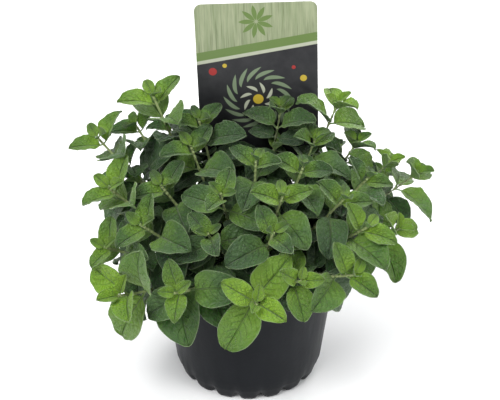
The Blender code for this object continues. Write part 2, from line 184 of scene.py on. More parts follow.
# From the top pair down: how far below the tip a pair stands, its leaves' length as a share of
# the stem's largest, and the angle in degrees that its leaves make with the stem.
PAIRS = [
    (0.001, 0.32, 30),
    (0.006, 0.60, 50),
    (0.016, 0.92, 66),
    (0.034, 1.00, 78),
]
DOME_CENTRE = Vector((0.0, 0.0, 0.070))
LIGHT = Vector((0.0, -0.60, 0.60))  # the leaves turn to the window
VEIN_SLANT = 0.42  # how far a side vein runs on towards the tip, as a share of the length
VEIN_CURVE = 1.5

# The label's print, in card widths from the middle of the card's lower edge
CARD_TOP_MOTIF = (0.0, 1.31, 0.0)
PANEL_MOTIF = (0.0, 0.62, 0.0)
DISC_RIM = 0.003
BAND_RIM = 0.004

STAGE_TARGET = Vector((0.001, 0.0, 0.134))  # where the camera and the lamps point
STAGE_DROP = 0.0002


# Where everything grows, by the rules of the solids


class Leaf(NamedTuple):
    """A leaf's place: its foot on the stem, its direction, its upper side's normal and its form."""

    foot: Vector
    along: Vector
    normal: Vector
    length: float
    width: float
    droop: float
    fold: float


def half_width(share):
    """Half of the ovate blade's width at a share of its length, as a share of its widest half."""
    return math.sin(math.pi * min(max(share, 0.0), 1.0) ** 0.78) ** 0.80


def blade_place(leaf, share):
    """The middle, the normal and the sideways direction of the blade at a share of its length."""
    blade_start = leaf.foot + leaf.along * (leaf.length * PETIOLE_SHARE)
    across = leaf.along.cross(leaf.normal)
    blade_length = leaf.length * (1 - PETIOLE_SHARE)
    if share <= 0:
        return blade_start + leaf.along * (share * blade_length), leaf.normal, across
    turn = leaf.droop * share
    radius = blade_length / leaf.droop
    middle = blade_start + leaf.along * (radius * math.sin(turn))
    middle -= leaf.normal * (radius * (1 - math.cos(turn)))
    return middle, leaf.normal * math.cos(turn) + leaf.along * math.sin(turn), across


def leaf_point(leaf, share, side, lift):
    """A point of the plain blade: side runs from -1 to 1, lift is its height over the middle."""
    middle, normal, across = blade_place(leaf, share)
    half = leaf.width / 2 * half_width(share) if share > 0 else 0.0
    raised = abs(side) * half * math.sin(leaf.fold)
    return middle + across * (side * half * math.cos(leaf.fold)) + normal * (raised + lift)


LARGE_RIM = [(0.16, -1), (0.45, -1), (0.78, -1), (1.0, 0), (0.78, 1), (0.45, 1), (0.16, 1)]
LARGE_MIDRIB = [0.42]
SMALL_RIM = [(0.24, -1), (0.66, -1), (1.0, 0), (0.66, 1), (0.24, 1)]
SMALL_MIDRIB = [0.45]
TINY_RIM = [(0.42, -1), (1.0, 0), (0.42, 1)]
TINY_FACES = [(0, 1, 2), (0, 2, 3)]


def blade_solid(leaf, grown=0.0):
    """Points and faces of the leaf's plain folded blade, moved out by grown."""
    if leaf.length < TINY_LEAF:
        rim, midrib = TINY_RIM, []
    elif leaf.length < SMALL_LEAF:
        rim, midrib = SMALL_RIM, SMALL_MIDRIB
    else:
        rim, midrib = LARGE_RIM, LARGE_MIDRIB
    if grown:
        leaf = leaf._replace(length=leaf.length + grown, width=leaf.width + 2 * grown)
    stations = [(FOOT_SHARE, 0), *rim, *((share, 0) for share in midrib)]
    lift = BLADE / 2 + grown
    points = [leaf_point(leaf, share, side, lift) for share, side in stations]
    points += [leaf_point(leaf, share, side, -lift) for share, side in stations]
    count = len(stations)
    edge = len(rim) + 1
    faces = [(i, (i + 1) % edge, edge) for i in range(edge)] if midrib else TINY_FACES
    solid = [face[::-1] for face in faces]
    solid += [tuple(i + count for i in face) for face in faces]
    for i in range(edge):
        j = (i + 1) % edge
        solid += [(i, j, j + count), (i, j + count, i + count)]
    return points, solid


class Stem(NamedTuple):
    """A leafy stem: points along its middle, and at each its direction and the side of a flat."""

    name: str
    points: list
    tangents: list
    sides: list


def square_to(axis, vector):
    """The part of a vector that is square to an axis, one unit long."""
    return (vector - axis * vector.dot(axis)).normalized()


def turned_round(axis, vector, degrees):
    turned = vector.copy()
    turned.rotate(Matrix.Rotation(math.radians(degrees), 3, axis))
    return turned


def growth_direction(tip):
    """Outwards and up to the light, as the stems at the rim of the bush lean out most."""
    outward = (tip - DOME_CENTRE).normalized()
    return (outward + Vector((0, 0, UPWARD_PULL))).normalized()


def bare_stem(tip):
    """The stem's line from the bottom of its hole in the peat to its tip, without its leaves."""
    end = Vector((tip.x, tip.y, tip.z)) / 1000
    x, y = tip.root or (tip.x * ROOT_SHARE, tip.y * ROOT_SHARE)
    root = Vector((x / 1000, y / 1000, SOIL_LEVEL - HOLE_DEPTH + GAP))
    collar = root + Vector((0, 0, HOLE_DEPTH + COLLAR_HEIGHT))
    final = growth_direction(end)
    span = (end - collar).length
    first = collar + Vector((0, 0, RISE_SHARE * span))
    second = end - final * (ARRIVAL_SHARE * span)
    points = [root]
    for step in range(STEM_STEPS):
        t = step / (STEM_STEPS - 1)
        s = 1 - t
        points.append(
            collar * s**3 + first * (3 * s * s * t) + second * (3 * s * t * t) + end * t**3
        )
    tangents = []
    for i in range(len(points)):
        before = points[max(i - 1, 0)]
        after = points[min(i + 1, len(points) - 1)]
        tangents.append((after - before).normalized())
    tangents[0] = tangents[1] = Vector((0, 0, 1))
    tangents[-1] = final
    side = turned_round(final, final.cross(Vector((0, 0, 1))).normalized(), tip.twist)
    sides = [side]
    for tangent in reversed(tangents[:-1]):
        side = square_to(tangent, side)
        sides.append(side)
    return Stem(tip.name, points, tangents, sides[::-1])


def stem_half(share):
    """Half the stem's thickness at a share of its height: it tapers from the peat up."""
    return STEM_BASE_HALF + (STEM_TIP_HALF - STEM_BASE_HALF) * share


def stem_solid(stem, grown=0.0):
    """Points and faces of the square stem."""
    points = []
    last = len(stem.points) - 1
    for i, (middle, side) in enumerate(zip(stem.points, stem.sides)):
        half = stem_half(i / last) + grown
        other = stem.tangents[i].cross(side)
        for a, b in ((1, 1), (-1, 1), (-1, -1), (1, -1)):
            points.append(middle + side * (a * half) + other * (b * half))
    faces = [(3, 2, 1, 0)]
    for i in range(0, 4 * last, 4):
        for k in range(4):
            m = (k + 1) % 4
            faces.append((i + k, i + m, i + 4 + m, i + 4 + k))
    faces.append(tuple(range(4 * last, 4 * last + 4)))
    return points, faces


def below_tip(stem, distance):
    """The stem's middle, direction and side at a distance back from its tip."""
    for i in range(len(stem.points) - 1, 0, -1):
        step = (stem.points[i] - stem.points[i - 1]).length
        if distance <= step:
            share = distance / step
            middle = stem.points[i].lerp(stem.points[i - 1], share)
            tangent = stem.tangents[i].lerp(stem.tangents[i - 1], share).normalized()
            side = stem.sides[i].lerp(stem.sides[i - 1], share)
            return middle, tangent, square_to(tangent, side)
        distance -= step
    return stem.points[0], stem.tangents[0], stem.sides[0]


def leaf_on(stem, tip, pair, hand, change, chance):
    """One leaf of a pair, turned and shortened by a change, its form varied by two chances."""
    distance, share, angle = PAIRS[pair]
    pitch, yaw, size = change
    middle, tangent, side = below_tip(stem, distance * tip.leaf / MIDDLING_LEAF)
    outward = side if pair % 2 == 0 else tangent.cross(side)
    outward = turned_round(tangent, outward * hand, yaw)
    opening = math.radians(angle + pitch)
    along = tangent * math.cos(opening) + outward * math.sin(opening)
    along = (along + Vector((0, 0, -PAIR_SAG * pair))).normalized()
    light = ((stem.points[-1] - DOME_CENTRE).normalized() * 0.5 + LIGHT).normalized()
    lit = light - along * light.dot(along)
    normal = square_to(along, (square_to(along, tangent) * OWN_TURN + lit).normalized())
    length = tip.leaf / 1000 * share * size * (0.94 + 0.12 * chance[0])
    width = length * WIDTH_SHARE * (0.92 + 0.16 * chance[1])
    droop = math.radians(12 + 9 * pair + 16 * chance[0])
    fold = math.radians(30 - 5 * pair + 8 * chance[1])
    return Leaf(middle + along * LEAF_FOOT, along, normal, length, width, droop, fold)


def tree_of(points, faces):
    rounded = [tuple(round(value, 6) for value in point) for point in points]
    return BVHTree.FromPolygons(rounded, faces)


def ball_round(points):
    centre = sum(points, Vector()) / len(points)
    return centre, max((point - centre).length for point in points)


class Taken:
    """The room that is taken already: solids that a new leaf has to stay clear of."""

    def __init__(self):
        self.solids = []

    def add(self, owner, is_leaf, points, faces):
        self.solids.append((owner, is_leaf, *ball_round(points), tree_of(points, faces)))

    def meets(self, points, faces, counts):
        """Whether the shape meets any solid for which counts(owner, is_leaf) holds."""
        centre, radius = ball_round(points)
        tree = None
        for owner, is_leaf, other_centre, other_radius, other in self.solids:
            if not counts(owner, is_leaf):
                continue
            if (other_centre - centre).length > radius + other_radius:
                continue
            tree = tree or tree_of(points, faces)
            if tree.overlap(other):
                return True
        return False

    def has_room(self, name, leaf):
        """Whether a leaf clears all but its own stem, and crosses none of the stem's leaves."""
        if self.meets(*blade_solid(leaf, LEAF_CLEARANCE), lambda owner, _: owner != name):
            return False
        return not self.meets(*blade_solid(leaf), lambda owner, is_leaf: owner == name and is_leaf)


def changes():
    """The turns and sizes that a leaf tries until it is clear of all others, least change first."""
    sizes = (1.0, 0.9, 0.8, 0.68, 0.56)
    pitches = (0, 13, -13, 26, -26, 38)
    yaws = (0, 15, -15, 30, -30, 44, -44)

    def cost(change):
        pitch, yaw, size = change
        return abs(pitch) / 13 + abs(yaw) / 15 + (1 - size) * 11

    tries = [(pitch, yaw, size) for size in sizes for pitch in pitches for yaw in yaws]
    return sorted(tries, key=cost)


def turned_solid(profile, segments):
    """Points and faces of a closed turned shape, from radius and height pairs."""
    points = []
    for radius, height in profile:
        for k in range(segments):
            angle = 2 * math.pi * k / segments
            points.append(Vector((radius * math.cos(angle), radius * math.sin(angle), height)))
    faces = []
    for i in range(0, segments * (len(profile) - 1), segments):
        for k in range(segments):
            m = (k + 1) % segments
            faces.append((i + k, i + m, i + segments + m, i + segments + k))
    return points, faces


def label_place():
    """The label's place: its own origin is on its middle line at the level of the peat."""
    lean = Matrix.Rotation(-math.radians(LABEL_BACKWARD_DEG), 4, "X")
    tip_over = Matrix.Rotation(math.radians(LABEL_SIDEWAYS_DEG), 4, "Y")
    return Matrix.Translation((LABEL_X, LABEL_Y, SOIL_LEVEL)) @ lean @ tip_over


def label_outline(grown=0.0, corner_steps=3):
    """The label's outline in its own plane, x across and z up from the level of the peat."""
    half = CARD_WIDTH / 2 + grown - CARD_CORNER
    top = CARD_BOTTOM + CARD_HEIGHT - SOIL_LEVEL + grown
    bottom = CARD_BOTTOM - SOIL_LEVEL - grown
    end = STAKE_END - SOIL_LEVEL
    right = [(STAKE_END_WIDTH / 2 + grown, end + STAKE_POINT)]
    right.append((STAKE_TOP_WIDTH / 2 + grown, bottom))
    for centre_z, start in ((bottom + CARD_CORNER, -90), (top - CARD_CORNER, 0)):
        for step in range(corner_steps + 1):
            angle = math.radians(start + 90 * step / corner_steps)
            x = half + CARD_CORNER * math.cos(angle)
            right.append((x, centre_z + CARD_CORNER * math.sin(angle)))
    left = [(-x, z) for x, z in reversed(right)]
    return [(0.0, end - grown), *right, *left]


def label_solid(grown=0.0):
    """Points and faces of the label, lying in its place."""
    place = label_place()
    outline = label_outline(grown)
    half = CARD_THICKNESS / 2 + grown
    points = [place @ Vector((x, -half, z)) for x, z in outline]
    points += [place @ Vector((x, half, z)) for x, z in outline]
    count = len(outline)
    faces = [tuple(range(count)), tuple(range(2 * count - 1, count - 1, -1))]
    faces += [(i, i + count, (i + 1) % count + count, (i + 1) % count) for i in range(count)]
    return points, faces


def pot_room():
    """Points and faces of the filled pot, a little larger than it is."""
    outer = RIM_RADIUS + LIP_PROUD + ROOM_SPARE
    inner = RIM_RADIUS - WALL - ROOM_SPARE
    top = POT_HEIGHT + ROOM_SPARE
    bed = SOIL_LEVEL + PEAT_SPARE
    profile = [
        (FOOT_RADIUS, 0.0),
        (outer, POT_HEIGHT - LIP_HEIGHT),
        (outer, top),
        (inner, top),
        (inner, bed),
        (0.0005, bed),
    ]
    return turned_solid(profile, 36)


def grown_stems():
    """Every stem with its pairs of leaves, each with its place, and the room that all take."""
    taken = Taken()
    taken.add("pot", False, *pot_room())
    taken.add("label", False, *label_solid(ROOM_SPARE))
    stems = [(bare_stem(tip), []) for tip in TIPS]
    for stem, _ in stems:
        taken.add(stem.name, False, *stem_solid(stem, STEM_CLEARANCE))
    tries = changes()
    chances = random.Random(7)
    for pair in range(len(PAIRS)):
        for tip, (stem, leaves) in zip(TIPS, stems):
            for hand in (1, -1):
                chance = (chances.random(), chances.random())
                for change in tries:
                    leaf = leaf_on(stem, tip, pair, hand, change, chance)
                    if taken.has_room(stem.name, leaf):
                        leaves.append((pair, leaf))
                        taken.add(stem.name, True, *blade_solid(leaf))
                        break
    return stems, taken


def outer_radius(height):
    return FOOT_RADIUS + (RIM_RADIUS - FOOT_RADIUS) * height / POT_HEIGHT


# What the fine leaves and stems add

MARKS = ("share", "side", "youth", "fresh", "tone")  # layers that the materials read
YOUTH = [1.0, 0.72, 0.36, 0.08]  # of the pairs of leaves, from the tip down
BUDS = [(1, 0.24, 24), (2, 0.26, 30), (3, 0.30, 34)]  # pair, length, opening of the young leaves
BUD_SIZES = [1.5, 1.2, 0.95, 0.7]
BUD_FOOT = 0.0006
NODE_SPARE = 0.006  # how far a piece may reach out of its node's box
WIDER_BLADE = 1.05  # a finished blade's width against the solid's
FULL_RELIEF_LEAF = 0.034  # shorter leaves have a lower relief
FULL_STALK_LEAF = 0.020  # shorter leaves have a thinner stalk and blade
COARSE_LEAF = 0.016  # shorter leaves have half the faces
CUPPING = 1.35
OUTLINE_NOISE = (3.5, 0.8, 40)  # how fast it changes along a leaf, across it and from leaf to leaf
WRINKLE_NOISE = (8, 3.5, 60)
WAVE_NOISE = (6, 1, 50)
KNOT_REACH = 0.0026
MERGE = 1e-6
SLIVER = 5e-6

# Inside the bush: how far below the tip a pair stands, its length as a share of the stem's largest
# leaves, and the angle in degrees that its leaves make with the stem.
INNER_PAIRS = [
    (0.025, 0.55, 70),
    (0.042, 0.70, 76),
    (0.049, 0.68, 80),
    (0.056, 0.64, 82),
    (0.063, 0.60, 84),
    (0.070, 0.56, 86),
    (0.078, 0.52, 88),
    (0.086, 0.48, 90),
    (0.094, 0.44, 94),
]
INNER_SIZES = [1.25, 1.0, 0.84, 0.68, 0.54, 0.42]
INNER_YAWS = [0, 20, -20, 40, -40, 60, -60, 80, -80]
SHADED_LIGHT = Vector((0.0, -0.2, 1.0))  # the light that the inner leaves turn to


class Grown(NamedTuple):
    """A leaf with what its looks need."""

    leaf: Leaf
    youth: float
    tone: float


def smooth_step(value):
    value = min(max(value, 0.0), 1.0)
    return value * value * (3 - 2 * value)


def curve_through(points, steps):
    """Points on a smooth curve through the given ones, with a number of steps between each two."""
    found = []
    for i in range(len(points) - 1):
        before = points[max(i - 1, 0)]
        start = points[i]
        end = points[i + 1]
        after = points[min(i + 2, len(points) - 1)]
        for step in range(steps):
            t = step / steps
            found.append(
                start * (1 - 2.5 * t * t + 1.5 * t**3)
                + end * (0.5 * t + 2 * t * t - 1.5 * t**3)
                + before * (-0.5 * t + t * t - 0.5 * t**3)
                + after * (-0.5 * t * t + 0.5 * t**3)
            )
    found.append(points[-1].copy())
    return found


def fine_half_width(share, point):
    """Half the finished blade's width: ovate, its tip more pointed as point goes to 1."""
    share = min(max(share, 0.0), 1.0)
    return math.sin(math.pi * share**0.76) ** (0.50 + 0.24 * point)


def noise_at(scales, *places):
    return noise.noise(Vector([place * scale for place, scale in zip(places, scales)]))


def fine_leaf_place(leaf, share, side, tone, foot, looks):
    """A point of the finished blade: cupped, quilted, wrinkled, waved and twisted."""
    middle, normal, across = blade_place(leaf, share)
    size = min(1.0, leaf.length / FULL_RELIEF_LEAF)
    stalk = looks.petiole_width / 2 * min(1.0, leaf.length / FULL_STALK_LEAF)
    half = leaf.width / 2 * WIDER_BLADE * fine_half_width(share, tone)
    half *= 1 + looks.unevenness * noise_at(OUTLINE_NOISE, share, side, tone)
    half = max(half, stalk * (1 - smooth_step(share / 0.15)))
    away = abs(side)
    across_reach = side * half * math.cos(leaf.fold)
    raised = half * math.sin(leaf.fold) * away**CUPPING
    if share < 0:
        start = blade_place(leaf, 0.0)[0]
        middle = foot.lerp(start, 1 - share / FOOT_SHARE)
        return middle + across * across_reach + normal * raised
    turn = looks.twist * (2 * tone - 1) * share
    across, normal = (
        across * math.cos(turn) + normal * math.sin(turn),
        normal * math.cos(turn) - across * math.sin(turn),
    )
    near_foot = smooth_step(share / 0.1)
    off_midrib = min(1.0, away * 4)
    ribs = abs(math.sin(math.pi * looks.side_veins * (share - VEIN_SLANT * away**VEIN_CURVE)))
    quilt = looks.quilting * size * ribs * (1 - away**3) * off_midrib
    quilt *= smooth_step(share / 0.15) * smooth_step((1 - share) / 0.2)
    wrinkle = looks.wrinkling * size * noise_at(WRINKLE_NOISE, share, side, tone)
    wrinkle *= near_foot * off_midrib
    wave = math.sin(13 * share + 6 * tone + side) + 2 * noise_at(WAVE_NOISE, share, side, tone)
    wave *= looks.edge_wave * size * away**3 * near_foot
    sway = looks.sway * size * share * share * math.sin(12 * tone)
    return middle + across * (across_reach + sway) + normal * (raised + quilt + wrinkle + wave)


def set_marks(vert, layers, *values):
    for layer, value in zip(layers, values):
        vert[layer] = value


def faces_of(made):
    return [item for item in made["geom"] if isinstance(item, bmesh.types.BMFace)]


def add_leaf(shape, layers, grown, fresh, foot, looks):
    """Adds one leaf as a thin closed blade, made from a grid."""
    leaf = grown.leaf
    steps = looks.leaf_steps if leaf.length >= COARSE_LEAF else looks.leaf_steps // 2
    grid = bmesh.ops.create_grid(shape, x_segments=steps, y_segments=steps // 2, size=0.5)
    upper = set()
    for vert in grid["verts"]:
        run = vert.co.x + 0.5
        run = 0.55 * run + 0.45 * (0.5 - 0.5 * math.cos(math.pi * run))
        share = FOOT_SHARE + (1 - FOOT_SHARE) * run
        side = max(-1.0, min(1.0, vert.co.y * 2))
        vert.co = fine_leaf_place(leaf, share, side, grown.tone, foot, looks)
        set_marks(vert, layers, share, side, grown.youth, fresh, grown.tone)
        upper.update(vert.link_faces)
    upper = list(upper)
    for face in upper:
        face.normal_update()
    middle = max(upper, key=lambda face: face.calc_area())
    if middle.normal.dot(blade_place(leaf, 0.5)[1]) < 0:
        bmesh.ops.reverse_faces(shape, faces=upper)
    thickness = looks.blade_thickness * min(1.0, leaf.length / FULL_STALK_LEAF)
    for face in faces_of(bmesh.ops.solidify(shape, geom=upper, thickness=thickness)):
        face.material_index = 1


def add_stem(shape, layers, stem, knots, fresh, looks):
    """Adds the stem: a rounded square tube, extruded ring by ring along its curve."""
    middle = curve_through(stem.points, looks.stem_steps)
    last = len(middle) - 1
    ring = bmesh.ops.create_circle(shape, cap_ends=True, segments=12, radius=1.0)["verts"]
    angles = {vert: math.atan2(vert.co.y, vert.co.x) for vert in ring}
    cap = ring[0].link_faces[0]
    for i, point in enumerate(middle):
        if i:
            new_cap = faces_of(bmesh.ops.extrude_face_region(shape, geom=[cap]))[0]
            angles = {new: angles[old] for old, new in zip(cap.verts, new_cap.verts)}
            if i > 1:
                bmesh.ops.delete(shape, geom=[cap], context="FACES_ONLY")
            cap = new_cap
        place = i / looks.stem_steps
        low = min(int(place), len(stem.points) - 2)
        share = place / (len(stem.points) - 1)
        tangent = (middle[min(i + 1, last)] - middle[max(i - 1, 0)]).normalized()
        side = square_to(tangent, stem.sides[low].lerp(stem.sides[low + 1], place - low))
        other = tangent.cross(side)
        swelling = sum(math.exp(-(((point - knot).length / KNOT_REACH) ** 2)) for knot in knots)
        half = stem_half(share) * (1 + looks.knot_swelling * min(1.0, swelling))
        for vert, angle in angles.items():
            a, b = math.cos(angle), math.sin(angle)
            reach = half / (a**4 + b**4) ** 0.25
            vert.co = point + side * (reach * a) + other * (reach * b)
            set_marks(vert, layers, share, math.cos(4 * angle), share, fresh, 0.5)
    for face in {face for vert in shape.verts for face in vert.link_faces}:
        face.material_index = 2
    return middle


def in_box(points, box, spare=NODE_SPARE):
    """Whether the points stay in a node's box, or no further out of it than they may."""
    return all(
        low - spare <= value <= high + spare
        for point in points
        for low, value, high in zip(box[0], point, box[1])
    )


def simple_leaf(foot, along, normal, length, droop, fold):
    """A leaf of middling width, with its droop and fold in degrees."""
    width = length * WIDTH_SHARE
    return Leaf(foot, along, normal, length, width, math.radians(droop), math.radians(fold))


def settled(leaf, name, box, taken):
    """Whether the leaf has room by its node's box, which it then takes."""
    points, faces = blade_solid(leaf)
    if not in_box(points, box) or not taken.has_room(name, leaf):
        return False
    taken.add(name, True, points, faces)
    return True


def buds_of(stem, tip, pairs_of_leaves, taken):
    """Young leaves in the axils of the stem's larger leaves, where they have room."""
    found = []
    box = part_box(stem.name)
    chances = random.Random(stem.name)
    for pair, share, opening in BUDS:
        for leaf in pairs_of_leaves.get(pair, []):
            middle, tangent, _ = below_tip(stem, PAIRS[pair][0] * tip.leaf / MIDDLING_LEAF)
            outward = square_to(tangent, leaf.along)
            for hand in (1, -1):
                chance = chances.random()
                lean = (outward * 0.75 + tangent.cross(outward) * hand * 0.9).normalized()
                angle = math.radians(opening + 12 * chance)
                along = tangent * math.cos(angle) + lean * math.sin(angle)
                normal = square_to(along, tangent)
                for size in BUD_SIZES:
                    length = tip.leaf / 1000 * share * size * (0.75 + 0.5 * chance)
                    bud = simple_leaf(middle + lean * BUD_FOOT, along, normal, length, 14, 34)
                    if settled(bud, stem.name, box, taken):
                        found.append(Grown(bud, 0.9, chance))
                        break
    return found


def inner_leaves(stem, tip, taken):
    """Older leaves between and below the outer ones, where they have room."""
    found = []
    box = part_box(stem.name)
    chances = random.Random(stem.name + "inner")
    for number, (distance, share, opening) in enumerate(INNER_PAIRS):
        middle, tangent, side = below_tip(stem, distance * tip.leaf / MIDDLING_LEAF)
        if middle.z < SOIL_LEVEL + 0.010:
            continue
        for hand in (1, -1):
            chance = chances.random()
            angle = math.radians(opening + 10 * chance)
            droop = 24 + 30 * chance
            for size, yaw in itertools.product(INNER_SIZES, INNER_YAWS):
                outward = (side if number % 2 == 0 else tangent.cross(side)) * hand
                outward = turned_round(tangent, outward, yaw)
                along = tangent * math.cos(angle) + outward * math.sin(angle)
                normal = square_to(along, SHADED_LIGHT + outward * 0.5)
                length = tip.leaf / 1000 * share * size * (0.85 + 0.3 * chance)
                leaf = simple_leaf(middle + along * LEAF_FOOT, along, normal, length, droop, 14)
                if settled(leaf, stem.name, box, taken):
                    found.append(Grown(leaf, 0.0, chance))
                    break
    return found


def new_mesh(name, shape):
    """A mesh of the bmesh, which is freed."""
    mesh = bpy.data.meshes.new(name)
    shape.to_mesh(mesh)
    shape.free()
    return mesh


def new_object(name, data):
    made = bpy.data.objects.new(name, data)
    bpy.context.scene.collection.objects.link(made)
    return made


def new_piece(name, shape, materials, slot, *nodes):
    """Makes an object from the bmesh, which rides on the root and replaces these nodes."""
    mesh = new_mesh(name, shape)
    for material in materials:
        mesh.materials.append(material)
    mesh.shade_smooth()
    mesh.set_sharp_from_angle(angle=math.radians(40))
    piece = new_object(name, mesh)
    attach(piece, "root")
    if nodes:
        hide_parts(*nodes)
    return piece


def check_place(piece, node, spare):
    """Stops where the piece reaches further out of its node's box than it may."""
    if not in_box([vert.co for vert in piece.data.vertices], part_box(node), spare):
        raise RuntimeError(f"{piece.name} leaves the box of its node")


def make_leafy_stems(looks):
    """One finished piece for each leafy stem."""
    stems, taken = grown_stems()
    materials = [leaf_material(looks, False), leaf_material(looks, True), stem_material(looks)]
    for tip, (stem, leaves) in zip(TIPS, stems):
        chances = random.Random(stem.name)
        pairs = {}
        for pair, leaf in leaves:
            pairs.setdefault(pair, []).append(leaf)
        everything = [Grown(leaf, YOUTH[pair], chances.random()) for pair, leaf in leaves]
        everything += inner_leaves(stem, tip, taken)
        everything += buds_of(stem, tip, pairs, taken)
        shape = bmesh.new()
        layers = [shape.verts.layers.float.new(name) for name in MARKS]
        knots = [grown.leaf.foot for grown in everything]
        middle = add_stem(shape, layers, stem, knots, tip.fresh, looks)
        for grown in everything:
            foot = min(middle, key=lambda point: (point - grown.leaf.foot).length)
            add_leaf(shape, layers, grown, tip.fresh, foot, looks)
        bmesh.ops.remove_doubles(shape, verts=shape.verts, dist=MERGE)
        bmesh.ops.recalc_face_normals(shape, faces=shape.faces)
        piece = new_piece(f"{stem.name}_leaves", shape, materials, "leaf_green", stem.name)
        check_place(piece, stem.name, NODE_SPARE + 0.003)


# The pot, the peat and the label


def turned(shape, profile, steps):
    """Spins the profile, which starts and ends on the axis, into a closed shape."""
    verts = [shape.verts.new((radius, 0.0, height)) for radius, height in profile]
    line = verts + [shape.edges.new(pair) for pair in zip(verts, verts[1:])]
    spin = {"cent": (0, 0, 0), "axis": (0, 0, 1), "angle": 2 * math.pi, "use_merge": True}
    bmesh.ops.spin(shape, geom=line, steps=steps, **spin)
    bmesh.ops.remove_doubles(shape, verts=shape.verts, dist=MERGE)
    bmesh.ops.recalc_face_normals(shape, faces=shape.faces)


def pot_profile():
    """The pot's section, from the middle of its base round the rim to the middle of its floor."""
    lip_foot = POT_HEIGHT - LIP_HEIGHT
    lip = RIM_RADIUS + LIP_PROUD
    soft = 0.0004
    corners = [
        ((0.0, 0.0), 4),
        ((BASE_DISC_RADIUS, 0.0), 8),
        ((FOOT_RADIUS - 0.0040, 0.0), 6),
        ((FOOT_RADIUS - 0.0022, 0.0009), 4),
        ((FOOT_RADIUS - 0.0010, 0.0030), 8),
        ((outer_radius(0.010), 0.010), 12),
        ((outer_radius(lip_foot), lip_foot), 1),
        ((lip - soft, lip_foot), 1),
        ((lip, lip_foot + soft), 3),
        ((lip, POT_HEIGHT - soft), 1),
        ((lip - soft, POT_HEIGHT), 1),
        ((RIM_RADIUS - WALL + soft, POT_HEIGHT), 1),
        ((RIM_RADIUS - WALL, POT_HEIGHT - soft), 10),
        (FLOOR_BEND, 4),
        (FLOOR_EDGE, 10),
        ((0.0, FLOOR_LEVEL), 0),
    ]
    profile = []
    for (start, steps), (end, _) in zip(corners, corners[1:]):
        for step in range(steps):
            profile.append([a + (b - a) * step / steps for a, b in zip(start, end)])
    return profile + [corners[-1][0]]


def lobed(point):
    """The place of a point of the pot once the notches between the lobes of its foot are in."""
    angle = math.atan2(point.y, point.x)
    radius = math.hypot(point.x, point.y)
    inside = outer_radius(point.z) - radius > 0.9 * WALL and point.z >= FLOOR_LEVEL
    if inside or point.z > LOBE_TOP or radius < BASE_DISC_RADIUS:
        return point.copy()
    swing = abs(math.sin(LOBES / 2 * angle))
    notch = LOBE_DEPTH * (1 - smooth_step(swing * 1.15)) ** 1.2
    rise = smooth_step((radius - BASE_DISC_RADIUS) / 0.006) * smooth_step(1 - point.z / 0.008)
    draw = smooth_step((radius - FOOT_RADIUS + 0.012) / 0.008)
    draw *= smooth_step(1 - (point.z - 0.002) / 0.013)
    reach = radius - notch * draw
    return Vector((reach * math.cos(angle), reach * math.sin(angle), point.z + notch * rise))


def make_pot(looks):
    """The pot: turned, with lobes round its foot and holes cut through its floor."""
    shape = bmesh.new()
    turned(shape, pot_profile(), looks.steps)
    for vert in shape.verts:
        vert.co = lobed(vert.co)
    pot = new_piece("nursery_pot", shape, [pot_material(looks)], "black_plastic", "pot")
    drills = bmesh.new()
    size = {"radius1": DRAIN_RADIUS, "radius2": DRAIN_RADIUS, "depth": 4 * FLOOR_LEVEL}
    for k in range(DRAIN_HOLES):
        angle = 2 * math.pi * (k + 0.5) / DRAIN_HOLES
        place = Vector((DRAIN_CIRCLE * math.cos(angle), DRAIN_CIRCLE * math.sin(angle), 0))
        matrix = Matrix.Translation(place)
        bmesh.ops.create_cone(drills, cap_ends=True, segments=24, matrix=matrix, **size)
    cutter = new_object("drills", new_mesh("drills", drills))
    cut = pot.modifiers.new("Drain holes", "BOOLEAN")
    cut.operation = "DIFFERENCE"
    cut.object = cutter
    graph = bpy.context.evaluated_depsgraph_get()
    drilled = bpy.data.meshes.new_from_object(pot.evaluated_get(graph))
    pot.modifiers.clear()
    cleaned = bmesh.new()
    cleaned.from_mesh(drilled)
    bmesh.ops.remove_doubles(cleaned, verts=cleaned.verts, dist=SLIVER)
    bmesh.ops.dissolve_degenerate(cleaned, edges=cleaned.edges, dist=SLIVER)
    cleaned.to_mesh(drilled)
    cleaned.free()
    pot.data = drilled
    bpy.data.objects.remove(cutter)


def soil_height(x, y, looks):
    """The level of the rough top of the peat: the solid's roughness with lumps and crumbs on it."""
    rough = noise.noise(Vector((x * 60, y * 60, 0.5)))
    rough += 0.5 * noise.noise(Vector((x * 170, y * 170, 2.5)))
    lumps = noise.fractal(Vector((x * 420, y * 420, 7.5)), 0.9, 2.2, 4)
    return SOIL_LEVEL + 0.0012 * rough + looks.lumps * lumps


